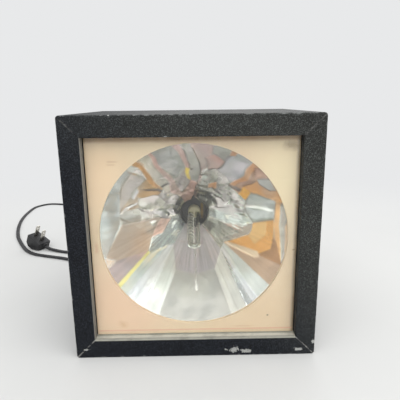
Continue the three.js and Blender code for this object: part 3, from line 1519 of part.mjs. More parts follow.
// Plug: a moulded body that leans on its cut-back corner, with two blades in its face.
function buildPlug(frame) {
  strobe.add(frame);
  const run = (plugThickness - plugEndHeight) / Math.tan(plugLean);
  const profile = polygon([
    [-plugFarLength, 0],
    [-plugFarLength, -plugThickness + plugFarChamfer],
    [-plugFarLength + plugFarChamfer, -plugThickness],
    [plugNearLength - run, -plugThickness],
    [plugNearLength, -plugEndHeight],
    [plugNearLength, 0],
  ]);
  const moulded = plateAlongY(profile, -plugWidth / 2, plugWidth / 2, plugEase);
  const nose = barAlongX(plugNoseRadius, plugNearLength - plugEase - overrun,
    plugNearLength + plugNoseLength, 16);
  const bladeX = bladeSpacing / 2;
  const slots = [-bladeX, bladeX].map((x) => boxBetween(
    x - bladeThickness / 2 - seatGap, x + bladeThickness / 2 + seatGap,
    -bladeWidth / 2 - seatGap, bladeWidth / 2 + seatGap,
    -bladeSeat - seatGap, overrun,
  ));
  const body = cut(join(moulded, nose.translate(0, 0, -plugNoseDepth)), ...slots);
  piece('plug_body', body, finishes.blackRubber, frame);

  // Blade: a flat strip with a hole near its rounded-off tip.
  const tip = bladeThickness;
  const strip = plateOfBlade([
    [-bladeWidth / 2, -bladeSeat],
    [bladeWidth / 2, -bladeSeat],
    [bladeWidth / 2, bladeLength - tip],
    [bladeWidth / 2 - tip, bladeLength],
    [-bladeWidth / 2 + tip, bladeLength],
    [-bladeWidth / 2, bladeLength - tip],
  ]);
  piece('plug_blade_far', copyAt(strip, -bladeX, 0, 0), finishes.nickel, frame);
  piece('plug_blade_near', copyAt(strip, bladeX, 0, 0), finishes.nickel, frame);
}

function plateOfBlade(corners) {
  const shape = polygon(corners);
  const hole = new THREE.Path();
  hole.absarc(0, bladeLength - bladeHoleInset, bladeHoleRadius, 0, 2 * Math.PI, true);
  shape.holes.push(hole);
  const strip = new THREE.ExtrudeGeometry(shape, {
    depth: bladeThickness,
    curveSegments: 8,
    bevelEnabled: false,
  });
  return strip.rotateX(Math.PI / 2).translate(0, bladeThickness / 2, 0).rotateZ(Math.PI / 2);
}

buildCabinet();
buildCornerBlocks();
buildFront();
buildReflector();
buildSocket();
buildStrap();
fastenStrap();
buildLamp();
buildRearPanel();
buildSpeedControl();
buildSwitch();
buildStrainRelief();
buildCircuitBoard();
buildStorageCapacitors();
buildTriggerParts();
buildBoardParts();
buildFuse();
buildWires();
buildCord();

export default strobe;
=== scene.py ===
# %% [markdown]
# # A strobe light in a square box
#
# The object is a black wooden box, open at the front behind a clear window. A cream panel with a round hole
# hides the edges of a cone of mirrored film, and a hairpin flash tube stands in the middle of the cone. The
# controls and the power cord are at the back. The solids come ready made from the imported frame. This lesson
# gives them their finishes, and makes again, finer, the pieces that a coarse solid can't show well.

# %% The frame and the units
import math

import bmesh
import bpy
from mathutils import Matrix, Vector, geometry, noise
from mathutils.bvhtree import BVHTree


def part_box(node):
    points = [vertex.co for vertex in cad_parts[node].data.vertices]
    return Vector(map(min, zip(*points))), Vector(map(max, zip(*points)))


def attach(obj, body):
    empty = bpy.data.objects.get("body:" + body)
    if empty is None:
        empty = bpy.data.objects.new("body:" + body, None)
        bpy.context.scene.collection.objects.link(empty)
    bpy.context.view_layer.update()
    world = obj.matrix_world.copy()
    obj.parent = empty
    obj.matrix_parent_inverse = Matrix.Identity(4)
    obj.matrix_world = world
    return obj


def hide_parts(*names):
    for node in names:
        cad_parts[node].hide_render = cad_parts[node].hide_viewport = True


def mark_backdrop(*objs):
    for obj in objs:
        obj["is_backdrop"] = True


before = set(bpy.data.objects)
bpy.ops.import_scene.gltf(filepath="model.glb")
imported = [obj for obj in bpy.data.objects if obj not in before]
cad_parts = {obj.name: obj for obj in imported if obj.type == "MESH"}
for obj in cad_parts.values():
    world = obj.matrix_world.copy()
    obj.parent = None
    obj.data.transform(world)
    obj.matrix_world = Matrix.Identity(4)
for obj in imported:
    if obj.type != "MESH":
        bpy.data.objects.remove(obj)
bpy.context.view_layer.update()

MM = 0.001
scene = bpy.context.scene
scene.view_settings.view_transform = "Standard"
print("nodes in the frame:", len(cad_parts))

# %% [markdown]
# ## The camera
#
# The photograph was taken a little above the box and straight in front of it. The focal length and the place
# come from fitting a pinhole camera to the corners of the box, so that the box fills the same pixels. Right,
# up and backward make the columns of the camera's matrix.

# %% Camera
SENSOR = 36.0
PICTURE = 400
FOCAL_PIXELS = 407.113
PITCH_DOWN = math.radians(13.55)
YAW = math.radians(-0.59)
ROLL = math.radians(-0.72)
CAMERA_PLACE = Vector((2.016, -384.195, 211.704)) * MM

level_right = Vector((math.cos(YAW), math.sin(YAW), 0))
forward = Vector((
    -math.sin(YAW) * math.cos(PITCH_DOWN), math.cos(YAW) * math.cos(PITCH_DOWN), -math.sin(PITCH_DOWN)))
level_up = level_right.cross(forward)
right = math.cos(ROLL) * level_right + math.sin(ROLL) * level_up
up = math.cos(ROLL) * level_up - math.sin(ROLL) * level_right

camera = bpy.data.objects.new("camera", bpy.data.cameras.new("camera"))
camera.data.sensor_width = SENSOR
camera.data.lens = SENSOR * FOCAL_PIXELS / PICTURE
camera.data.clip_start = 0.01
camera.matrix_world = Matrix.Translation(CAMERA_PLACE) @ Matrix((right, up, -forward)).transposed().to_4x4()
scene.collection.objects.link(camera)
scene.camera = camera
print("lens in millimetres:", round(camera.data.lens, 2))

# %% [markdown]
# ## Helpers that make meshes
#
# Most pieces here are one of three kinds: a mesh given by its corners, a profile turned about an axis, or a
# section carried along a line. Each helper writes the finished place into the mesh, so every object sits at
# the origin, and marks the edges that are sharper than an angle so that the rest can be shaded smooth.


# %% Mesh helpers
def placed(name, data):
    """A new object of the scene that shows data."""
    made = bpy.data.objects.new(name, data)
    scene.collection.objects.link(made)
    return made


def new_piece(name, corners, faces, sharp_angle=math.radians(35)):
    mesh = bpy.data.meshes.new(name)
    mesh.from_pydata([tuple(corner) for corner in corners], [], faces)
    mesh.update()
    mesh.shade_smooth()
    mesh.set_sharp_from_angle(angle=sharp_angle)
    return placed(name, mesh)


def grid_faces(rows, columns):
    """Quads between rings of corners. The last column joins the first."""
    faces = []
    for row in range(rows - 1):
        for column in range(columns):
            after = (column + 1) % columns
            low, high = row * columns, (row + 1) * columns
            faces.append((low + column, low + after, high + after, high + column))
    return faces


def end_caps(corners, count):
    """The two faces that close a row of rings with count corners each."""
    return [tuple(range(count))[::-1], tuple(range(len(corners) - count, len(corners)))]


def turned(name, profile, place=Vector(), segments=64, flute=None, ring=False):
    """Turns [(radius, along)] in mm about +Y through place. The ends close on the axis, or on each other."""
    corners = []
    for radius, along in profile:
        for step in range(segments):
            angle = 2 * math.pi * step / segments
            reach = radius if flute is None else flute(radius, along, angle)
            corners.append(Vector((reach * math.sin(angle), along, reach * math.cos(angle))) * MM + place)
    faces = grid_faces(len(profile), segments)
    if ring:
        last = len(corners) - segments
        faces += [(last + k, last + (k + 1) % segments, (k + 1) % segments, k) for k in range(segments)]
    else:
        faces += end_caps(corners, segments)
    return new_piece(name, corners, faces)


def arc(across, along, radius, start, end, steps, rise=None):
    """Points about (across, along) from start to end in degrees. A rise of its own makes it an ellipse."""
    rise = radius if rise is None else rise
    angles = [math.radians(start + (end - start) * k / steps) for k in range(steps + 1)]
    return [(across + radius * math.cos(angle), along + rise * math.sin(angle)) for angle in angles]


def round_section(radius, count=16):
    return arc(0, 0, radius, 0, 360, count)[:-1]


def smooth_line(points, step):
    """Points about step apart on the centripetal Catmull-Rom curve through the given points."""
    padded = [2 * points[0] - points[1], *points, 2 * points[-1] - points[-2]]
    line = []
    for p0, p1, p2, p3 in zip(padded, padded[1:], padded[2:], padded[3:]):
        d0, d1, d2 = (math.sqrt((b - a).length) for a, b in ((p0, p1), (p1, p2), (p2, p3)))
        t1 = ((p1 - p0) / d0 - (p2 - p0) / (d0 + d1) + (p2 - p1) / d1) * d1
        t2 = ((p2 - p1) / d1 - (p3 - p1) / (d1 + d2) + (p3 - p2) / d2) * d1
        count = max(1, math.ceil((p2 - p1).length / step))
        for k in range(count):
            t = k / count
            line.append(p1 + t1 * t + (3 * (p2 - p1) - 2 * t1 - t2) * t * t
                        + (2 * (p1 - p2) + t1 + t2) * t ** 3)
    line.append(points[-1])
    return line


def directions(line):
    ends = [line[1] - line[0], *[b - a for a, b in zip(line, line[2:])], line[-1] - line[-2]]
    return [step.normalized() for step in ends]


def swept(name, line, section, sides):
    """Carries section [(across, over)] along line; sides gives the across direction at each point."""
    corners = []
    for point, ahead, side in zip(line, directions(line), sides):
        side = (side - side.dot(ahead) * ahead).normalized()
        over = side.cross(ahead)
        corners.extend(point + side * a + over * b for a, b in section)
    return new_piece(name, corners, grid_faces(len(line), len(section)) + end_caps(corners, len(section)))


def carried_sides(line, start):
    """Across directions that turn as little as possible along a line."""
    sides = [start]
    for ahead in directions(line):
        side = sides[-1]
        sides.append((side - side.dot(ahead) * ahead).normalized())
    return sides[1:]


def smoothstep(value, low, high):
    share = min(max((value - low) / (high - low), 0), 1)
    return share * share * (3 - 2 * share)


# %% [markdown]
# ## The power cord
#
# A lamp of this age has a flat black cord of two cores side by side, 5.6 mm wide and 2.8 mm thick. It leaves
# the back through a strain relief, makes the open loop that shows on the left of the box, and the spare
# length is wound up behind the box and tied. The line repeats the route of the solids. The section is two
# touching circles, which lie flat on the table and stand on edge in the coil, where the cord bends the easy
# way.

# %% Cord route
CORD_WIDTH = 5.6 * MM
CORD_THICKNESS = 2.8 * MM
CORD_EXIT = Vector((-45, 80.5, 40)) * MM
CORD_REST = 2.9
LEAD_ROUTE = [
    (-45, 86.1, 40), (-45, 102, 37), (-45, 117, 27), (-46, 132, 15), (-50, 148, 7), (-58, 168, 3.5),
    (-76, 204), (-112, 268), (-160, 345), (-208, 412), (-250, 451), (-286, 467), (-313, 470), (-331, 450),
    (-332, 405), (-323, 349), (-306, 293), (-288, 250), (-276, 228), (-262, 205), (-247, 184), (-232, 171),
    (-211, 162), (-186, 153), (-165, 142)]
TAIL_ROUTE = [(-124, 167, 8), (-146, 170, 4.2), (-168, 173), (-188, 177), (-203, 182.5)]
COIL_CENTRE = (-105, 130)
COIL_RADIUS = 34
COIL_PITCH = 6.4
COIL_BASE = 4.6
COIL_ENTRY = math.radians(210)
COIL_EXIT = math.radians(80)
COIL_SWEEP = COIL_EXIT - COIL_ENTRY + 8 * math.pi
COIL_STEPS = 88
LINE_STEP = 3 * MM
PLUG_PLACE = Vector((-234, 199, 0)) * MM
PLUG_HEADING = math.radians(-29.8)
PLUG_LEAN = math.radians(25)
PLUG_BELOW, PLUG_SIDE, PLUG_GAP = 12, 14, 0.2
PLUG_LIFT = (PLUG_BELOW * math.cos(PLUG_LEAN) + PLUG_SIDE * math.sin(PLUG_LEAN) + PLUG_GAP) * MM
PLUG_ENTRY = [(22.4, 0, -4.6), (16.8, 0, -4.6)]


def route(points):
    return [Vector((*point, CORD_REST) if len(point) == 2 else point) * MM for point in points]


def coil_point(angle):
    """A place in the coil, which winds inward, climbs one layer half-way and winds outward again."""
    middle = COIL_SWEEP / 2
    turns_in = (middle - abs(angle - middle)) / (2 * math.pi)
    radius = COIL_RADIUS - COIL_PITCH * turns_in
    climb = smoothstep(angle, middle - math.pi / 2, middle + math.pi / 2)
    return Vector((
        COIL_CENTRE[0] + radius * math.cos(COIL_ENTRY + angle),
        COIL_CENTRE[1] + radius * math.sin(COIL_ENTRY + angle),
        COIL_BASE + COIL_PITCH * climb)) * MM


plug_frame = (Matrix.Translation(PLUG_PLACE + Vector((0, 0, PLUG_LIFT)))
              @ Matrix.Rotation(PLUG_HEADING, 4, "Z") @ Matrix.Rotation(PLUG_LEAN, 4, "Y"))
plug_entry = [plug_frame @ (Vector(place) * MM) for place in PLUG_ENTRY]
coil = [coil_point(COIL_SWEEP * k / COIL_STEPS) for k in range(COIL_STEPS + 1)]
stub = 2 * CORD_WIDTH
coil_in = coil[0] + (coil[0] - coil[1]).normalized() * stub
coil_out = coil[-1] + (coil[-1] - coil[-2]).normalized() * stub
cord_points = [CORD_EXIT, *route(LEAD_ROUTE), coil_in, *coil, coil_out, *route(TAIL_ROUTE), *plug_entry]
cord_line = smooth_line(cord_points, LINE_STEP)
coil_first = min(range(len(cord_line)), key=lambda k: (cord_line[k] - coil[0]).length)
coil_last = min(range(len(cord_line)), key=lambda k: (cord_line[k] - coil[-1]).length)

# %% Cord mesh
LOBE_HALF, LOBE_STEPS = 72, 9
TWIST_POINTS = 16
NEAR_PLUG_POINTS = 14
UPRIGHT = math.radians(90)
FLOOR_DROP = 1.3 * MM
LYING_BELOW, HANGING_ABOVE = 8 * MM, 30 * MM
ABOVE = Vector((0, 0, 1))


def cord_section():
    """Two circles side by side, as one outline."""
    radius = CORD_THICKNESS / 2
    lobe = arc(radius, 0, radius, -LOBE_HALF, LOBE_HALF, LOBE_STEPS)
    return lobe + [(-across, -over) for across, over in lobe]


def cord_roll(k):
    """How far the cord is turned on edge at point k: flat on the table, upright in the coil."""
    return UPRIGHT * min(smoothstep(k, coil_first - TWIST_POINTS, coil_first),
                         1 - smoothstep(k, coil_last, coil_last + TWIST_POINTS))


cord_path = []
cord_sides = []
for k, (point, ahead) in enumerate(zip(cord_line, directions(cord_line))):
    roll = cord_roll(k)
    flat = ABOVE.cross(ahead).normalized()
    cord_sides.append(math.cos(roll) * flat + math.sin(roll) * ABOVE)
    lying = (1 - roll / UPRIGHT) * (1 - smoothstep(point.z, LYING_BELOW, HANGING_ABOVE))
    near_plug = smoothstep(len(cord_line) - 1 - k, 0, NEAR_PLUG_POINTS)
    cord_path.append(point - FLOOR_DROP * lying * near_plug * ABOVE)
power_cord = swept("power_cord", cord_path, cord_section(), cord_sides)
print("cord faces:", len(power_cord.data.polygons))

# %% [markdown]
# ## Helpers that make finishes
#
# A finish is a small tree of shader nodes. `add` makes one node and sets or links its inputs, which keeps the
# trees short to read. Colours are written as they look on a screen and changed to linear light once.

# %% Finish helpers
FLOAT, COLOUR, VECTOR = "NodeSocketFloat", "NodeSocketColor", "NodeSocketVector"


def paint(code):
    """A screen colour such as '#d9c3a0' as linear light."""
    parts = [int(code[k:k + 2], 16) / 255 for k in (1, 3, 5)]
    linear = [part / 12.92 if part <= 0.04045 else ((part + 0.055) / 1.055) ** 2.4 for part in parts]
    return (*linear, 1.0)


def feed(tree, sockets, inputs):
    """Sets inputs by name or number. A value is a socket to link from or a constant."""
    for key, value in inputs.items():
        if isinstance(value, bpy.types.NodeSocket):
            tree.links.new(value, sockets[key])
        else:
            sockets[key].default_value = value


def add(tree, kind, inputs=None, **settings):
    made = tree.nodes.new(kind)
    for name, value in settings.items():
        setattr(made, name, value)
    feed(tree, made.inputs, inputs or {})
    return made


def calculate(tree, operation, *values, clamp=False):
    node = add(tree, "ShaderNodeMath", dict(enumerate(values)), operation=operation, use_clamp=clamp)
    return node.outputs[0]


def times(tree, first, second):
    return calculate(tree, "MULTIPLY", first, second)


def minus(tree, first, second):
    return calculate(tree, "SUBTRACT", first, second)


def vector_math(tree, operation, *values):
    return add(tree, "ShaderNodeVectorMath", dict(enumerate(values)), operation=operation).outputs


def away_from(tree, place, middle):
    """The distances along the three axes from middle to place."""
    away = vector_math(tree, "SUBTRACT", place, middle)[0]
    return vector_math(tree, "ABSOLUTE", away)[0]


def split(tree, place):
    return add(tree, "ShaderNodeSeparateXYZ", {0: place}).outputs


def mixed(tree, share, first, second, blend="MIX"):
    made = add(tree, "ShaderNodeMix", {0: share, 6: first, 7: second}, data_type="RGBA", blend_type=blend)
    return made.outputs[2]


def tinted(tree, colour, mask, strength, code):
    """The colour with a paint over it where mask is 1."""
    return mixed(tree, times(tree, mask, strength), colour, paint(code))


def mix_shaders(tree, share, first, second):
    return add(tree, "ShaderNodeMixShader", {0: share, 1: first, 2: second}).outputs[0]


def ranged(tree, value, low, high, to_low=0.0, to_high=1.0):
    return add(tree, "ShaderNodeMapRange", {
        "Value": value, "From Min": low, "From Max": high, "To Min": to_low, "To Max": to_high},
        interpolation_type="SMOOTHSTEP").outputs[0]


def object_place(tree):
    return add(tree, "ShaderNodeTexCoord").outputs["Object"]


def noise_at(tree, place, scale, detail=3.0, roughness=0.55):
    return add(tree, "ShaderNodeTexNoise", {
        "Vector": place, "Scale": scale, "Detail": detail, "Roughness": roughness}).outputs["Fac"]


def bump(tree, height, distance):
    return add(tree, "ShaderNodeBump", {"Height": height, "Distance": distance}).outputs["Normal"]


# %% Groups and materials
def new_group(name, inputs, outputs):
    """A shader node group; inputs are (name, type, default), outputs (name, type)."""
    tree = bpy.data.node_groups.new(name, "ShaderNodeTree")
    for label, kind, default in inputs:
        tree.interface.new_socket(label, in_out="INPUT", socket_type=kind).default_value = default
    for label, kind in outputs:
        tree.interface.new_socket(label, in_out="OUTPUT", socket_type=kind)
    return tree, tree.nodes.new("NodeGroupInput").outputs, tree.nodes.new("NodeGroupOutput").inputs


def use_group(tree, group, **inputs):
    made = add(tree, "ShaderNodeGroup", node_tree=group)
    feed(tree, made.inputs, {key.replace("_", " "): value for key, value in inputs.items()})
    return made.outputs


def new_material(name):
    """A material with its tree, its shader, and the socket that takes the finished surface."""
    material = bpy.data.materials.new(name)
    material.use_nodes = True
    tree = material.node_tree
    tree.nodes.clear()
    surface = tree.nodes.new("ShaderNodeBsdfPrincipled")
    output = tree.nodes.new("ShaderNodeOutputMaterial").inputs["Surface"]
    tree.links.new(surface.outputs[0], output)
    return material, tree, surface, output


# %% [markdown]
# ## Effects that several finishes share
#
# Wear follows the edges of the box. The box is straight, so the distance to its nearest edge can be worked
# out from Object coordinates: of the three distances to the faces, the middle one is the distance to the
# edge. A spot is a ragged patch round a point, for a chip, a stain or a smudge. Mottle is the slow change of
# tone that any real surface has, with a fine grain on top.

# %% Shared effects
LEAST_WEAR = 0.05 * MM


def make_edge_wear():
    tree, ask, give = new_group("Edge wear", [
        ("Centre", VECTOR, (0, 0, 0)), ("Half", VECTOR, (1, 1, 1)), ("Width", FLOAT, 0.001),
        ("Ragged scale", FLOAT, 120.0)], [("Mask", FLOAT)])
    place = object_place(tree)
    inside = vector_math(tree, "SUBTRACT", ask["Half"], away_from(tree, place, ask["Centre"]))[0]
    x, y, z = split(tree, inside)
    low = calculate(tree, "MINIMUM", x, y)
    high = calculate(tree, "MAXIMUM", x, y)
    edge = calculate(tree, "MAXIMUM", low, calculate(tree, "MINIMUM", high, z))
    ragged = ranged(tree, noise_at(tree, place, ask["Ragged scale"], 4.0, 0.7), 0.42, 0.75, 0.0, 2.4)
    reach = calculate(tree, "ADD", times(tree, ask["Width"], ragged), LEAST_WEAR)
    worn = calculate(tree, "SUBTRACT", 1.0, calculate(tree, "DIVIDE", edge, reach), clamp=True)
    feed(tree, give, {"Mask": worn})
    return tree


def make_spot():
    tree, ask, give = new_group("Spot", [
        ("Centre", VECTOR, (0, 0, 0)), ("Stretch", VECTOR, (1, 1, 1)), ("Radius", FLOAT, 0.01),
        ("Ragged", FLOAT, 0.5), ("Ragged scale", FLOAT, 200.0), ("Core", FLOAT, 0.7)], [("Mask", FLOAT)])
    place = object_place(tree)
    away = vector_math(tree, "SUBTRACT", place, ask["Centre"])[0]
    away = vector_math(tree, "DIVIDE", away, ask["Stretch"])[0]
    distance = vector_math(tree, "LENGTH", away)["Value"]
    rough = minus(tree, noise_at(tree, place, ask["Ragged scale"], 4.0, 0.65), 0.5)
    ragged = times(tree, rough, times(tree, ask["Ragged"], 4.0))
    share = calculate(tree, "ADD", calculate(tree, "DIVIDE", distance, ask["Radius"]), ragged)
    feed(tree, give, {"Mask": ranged(tree, share, 1.0, ask["Core"])})
    return tree


def make_mottle():
    tree, ask, give = new_group("Mottle", [
        ("Base", COLOUR, (0.5, 0.5, 0.5, 1)), ("Other", COLOUR, (0.4, 0.4, 0.4, 1)),
        ("Amount", FLOAT, 0.5), ("Scale", FLOAT, 30.0), ("Grain scale", FLOAT, 900.0),
        ("Grain", FLOAT, 0.2)], [("Colour", COLOUR), ("Cloud", FLOAT), ("Height", FLOAT)])
    place = object_place(tree)
    cloud = ranged(tree, noise_at(tree, place, ask["Scale"], 5.0, 0.6), 0.35, 0.68)
    grain = noise_at(tree, place, ask["Grain scale"], 2.0, 0.6)
    colour = mixed(tree, times(tree, cloud, ask["Amount"]), ask["Base"], ask["Other"])
    shade = calculate(tree, "ADD", 1.0, times(tree, ask["Grain"], minus(tree, grain, 0.5)))
    shaded = add(tree, "ShaderNodeVectorMath", {0: colour, 3: shade}, operation="SCALE").outputs[0]
    feed(tree, give, {"Colour": shaded, "Cloud": cloud, "Height": grain})
    return tree


edge_wear, spot, mottle = make_edge_wear(), make_spot(), make_mottle()
print("shared effects:", ", ".join(group.name for group in (edge_wear, spot, mottle)))


def spots(tree, centre, stretch, radius, **settings):
    """The mask of one spot; its centre and radius are in millimetres."""
    return use_group(tree, spot, Centre=tuple(Vector(centre) * MM), Stretch=stretch, Radius=radius * MM,
                     **settings)["Mask"]


def uneven(tree, base, other, **settings):
    """Mottle between two paints."""
    return use_group(tree, mottle, Base=paint(base), Other=paint(other), **settings)


def gloss_of(tree, cloud, low, high):
    """Roughness that follows a mottle's cloud."""
    return ranged(tree, cloud, 0.0, 1.0, low, high)


# %% [markdown]
# ## Finishes by the name of the stuff
#
# Most stuffs differ only in tone, gloss and grain, so one function makes them all: moulded, cast, plated or
# sprayed. It mottles the colour, lets the gloss follow the same cloud, and gives the surface a fine grain.

# %% Finishes by name
GLOSS_SPREAD = 0.12
STUFFS = [  # name, two tones, roughness, metallic, scale of the mottle, grain
    ("bare_pine", "#b08a5a", "#94703f", 0.75, 0.0, 60.0, 0.5),
    ("lamp_ceramic", "#bdb694", "#a39b78", 0.45, 0.0, 220.0, 0.15),
    ("trigger_nickel", "#c6c2b8", "#9d978a", 0.25, 1.0, 300.0, 0.3),
    ("tungsten", "#77746f", "#5d5a56", 0.4, 1.0, 200.0, 0.3),
    ("dark_phenolic", "#34322c", "#45443a", 0.42, 0.0, 90.0, 0.25),
    ("brass", "#6f5c3a", "#54452b", 0.36, 1.0, 120.0, 0.3),
    ("zinc_plate", "#b4b7b9", "#8f9194", 0.34, 1.0, 70.0, 0.3),
    ("nickel_plate", "#c8c5bd", "#a39f95", 0.2, 1.0, 160.0, 0.3),
    ("moulded_black", "#18181a", "#232326", 0.36, 0.0, 90.0, 0.2),
    ("blue_sleeve", "#2b4f7d", "#244369", 0.3, 0.0, 80.0, 0.1),
    ("drawn_aluminium", "#c3c5c6", "#a4a7a9", 0.3, 1.0, 120.0, 0.3),
    ("lacquered_copper", "#a35a2c", "#7d421f", 0.3, 1.0, 300.0, 0.3),
    ("bobbin_brown", "#6d4a2c", "#583a21", 0.5, 0.0, 120.0, 0.2),
    ("dipped_red", "#a3402c", "#8a3322", 0.3, 0.0, 120.0, 0.1),
    ("white_cement", "#dedbd0", "#c9c5b8", 0.75, 0.0, 200.0, 0.4),
    ("red_insulation", "#a52a22", "#8d231c", 0.4, 0.0, 200.0, 0.1),
    ("white_insulation", "#dcdcd8", "#c8c8c2", 0.4, 0.0, 200.0, 0.1),
    ("yellow_insulation", "#c9a52c", "#b08f22", 0.4, 0.0, 200.0, 0.1),
    ("black_insulation", "#1c1c1e", "#2a2a2c", 0.4, 0.0, 200.0, 0.1),
    ("paper_tie", "#2f2f33", "#3d3d41", 0.7, 0.0, 300.0, 0.4),
    ("white_print", "#dfe0dc", "#c9cac5", 0.5, 0.0, 400.0, 0.3)]


def plain_finish(name, base, other, roughness, metallic, scale, grain, grain_scale=1500.0, depth=0.02):
    material, tree, surface, _ = new_material(name)
    tone = uneven(tree, base, other, Scale=scale, Grain_scale=grain_scale, Grain=grain)
    feed(tree, surface.inputs, {
        "Base Color": tone["Colour"], "Metallic": metallic,
        "Roughness": gloss_of(tree, tone["Cloud"], roughness - GLOSS_SPREAD / 2, roughness + GLOSS_SPREAD),
        "Normal": bump(tree, tone["Height"], depth * MM)})
    return material


finish = {row[0]: plain_finish(*row) for row in STUFFS}
finish["satin_black"] = plain_finish(
    "satin_black_metal", "#232528", "#2d3033", 0.45, 0.0, 40.0, 0.5, 2400.0, 0.05)
finish["rubber"] = plain_finish("black_rubber", "#1b1b1d", "#262627", 0.55, 0.0, 150.0, 0.4, depth=0.04)
print("finishes:", len(finish))


# %% Clear stuffs, and handing a finish over
def clear_finish(name, tint, ior):
    """Clear sheet or glass. It lets shadow rays straight through, so that light reaches what is behind it."""
    material, tree, surface, output = new_material(name)
    tone = uneven(tree, tint, "#ffffff", Amount=0.3, Scale=25.0, Grain=0.02)
    feed(tree, surface.inputs, {
        "Base Color": tone["Colour"], "Roughness": ranged(tree, tone["Cloud"], 0.3, 1.0, 0.0, 0.03),
        "Transmission Weight": 1.0, "IOR": ior})
    shadow = add(tree, "ShaderNodeLightPath").outputs["Is Shadow Ray"]
    through = add(tree, "ShaderNodeBsdfTransparent").outputs[0]
    tree.links.new(mix_shaders(tree, shadow, surface.outputs[0], through), output)
    return material


def finish_node(material, *names):
    """Gives CAD nodes a finish in place of the one that they came with."""
    for name in names:
        materials = bpy.data.objects[name].data.materials
        materials.clear()
        materials.append(material)


def settle(piece, material, slot_name, *nodes, body="cabinet"):
    """Rides a finished piece on its body and hides the solids that it stands for."""
    if material:
        piece.data.materials.append(material)
    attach(piece, body)
    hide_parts(*nodes)
    return piece


# %% [markdown]
# ## Black paint on the boards
#
# The box is wood sprayed with a pebbled black paint. Seen close it sparkles: each pebble catches the light on
# its own. A Voronoi texture of half-millimetre cells gives each pebble its own tone and its dome, and the
# lightest pebbles are painted pale: the paint's grey speck with a painted glint. The whole paint is painted
# lighter towards the top right, a painted sheen. Where the boards meet, the paint has cracked along the
# mitre, so a thin pale line runs from each inner corner to the outer one. The outer edges are rubbed, and a
# few chips at the foot show bare filler. The ledges round the window are pale: dust with painted light on the
# bottom ledge, painted light over the shade in the groove under the window, and painted light on the left
# inner face.

# %% Board finish
BOX_WIDTH = 203.2 * MM
BOX_DEPTH = 152.4 * MM
PEBBLE_SCALE = 2100.0
PEBBLE_DEPTH = 0.12 * MM
SPARKLE = 0.42
WEAR_WIDTH, WEAR_STRENGTH = 0.95 * MM, 0.85
CRACK_EDGE, CRACK_CORE = 0.95 * MM, 0.45 * MM
CRACK_FADES = (40 * MM, 150 * MM)
PAINT_SHEEN_RAMP = (-60 * MM, 110 * MM)
CHIP_STRENGTH, CHIP_DEPTH = 0.8, 1.2
LEDGE_BLUR = 0.3 * MM
CHIPS = [  # place on the front or side faces in mm, stretch, radius in mm, ragged share
    ((33, -76, 6.0), (1.5, 1, 1.0), 2.6, 0.9), ((43, -76, 4.2), (2.0, 1, 0.8), 2.4, 0.9),
    ((26, -76, 5.6), (1.2, 1, 0.9), 1.4, 0.8), ((88, -76, 5.0), (2.2, 1, 0.8), 1.8, 0.9),
    ((100.2, -76, 12), (0.9, 1, 1.3), 2.0, 0.6), ((101.4, -74, 24), (1, 1, 2.4), 1.4, 0.9),
    ((101.4, -75, 33), (1, 1, 1.4), 1.1, 0.8), ((-93, -76, 8), (2.0, 1, 0.8), 1.3, 0.7),
    ((-62, -76, 203), (1, 1, 1), 0.8, 0.7), ((-20, -76, 186.5), (2, 1, 0.8), 0.8, 0.8),
    ((-101.4, -75, 195), (1, 1, 3.0), 0.9, 1.0), ((101, 20, 203), (1, 2.0, 1), 2.2, 0.9),
    ((-101, 40, 203), (1, 1.6, 1), 2.0, 0.9), ((60, 76, 203), (2.0, 1, 1), 2.2, 0.9),
    ((-101, -30, 1), (1, 2.0, 1), 2.6, 0.9), ((101, 60, 1), (1, 2.0, 1), 2.6, 0.9)]
# Dust with painted light on the bottom ledge, painted light over the shade in the groove, painted light on
# the left inner face.
LEDGE_DUST_AND_LIGHT = [  # low corner, high corner in mm of the pale ledges round the window, colour, strength
    ((-84.6, -80, 16.0), (84.6, -73.5, 17.4), "#a9a89c", 0.75),
    ((-84.6, -73.5, 13.0), (84.6, -63, 17.4), "#bfbcae", 0.95),
    ((-85.0, -80, 17.4), (-84.0, -69, 186.2), "#8f8b82", 0.8)]


def within(tree, place, low, high, blur):
    """1 inside a box of Object coordinates, with blurred faces."""
    low, high = Vector(low) * MM, Vector(high) * MM
    middle, half = (low + high) / 2, (high - low) / 2
    parts = split(tree, away_from(tree, place, middle))
    inside = [ranged(tree, part, reach + blur, reach) for part, reach in zip(parts, half)]
    return times(tree, inside[0], times(tree, inside[1], inside[2]))


def mitre_cracks(tree, place, x, above, z):
    """Broken lines where the distances to the two outer faces are equal, fainter higher up."""
    half = BOX_WIDTH / 2
    across, along = (minus(tree, half, calculate(tree, "ABSOLUTE", part)) for part in (x, above))
    line = ranged(tree, calculate(tree, "ABSOLUTE", minus(tree, across, along)), CRACK_EDGE, CRACK_CORE)
    broken = ranged(tree, noise_at(tree, place, 260.0, 3.0, 0.7), 0.38, 0.6)
    return times(tree, line, times(tree, broken, ranged(tree, z, *CRACK_FADES, 0.6, 0.2)))


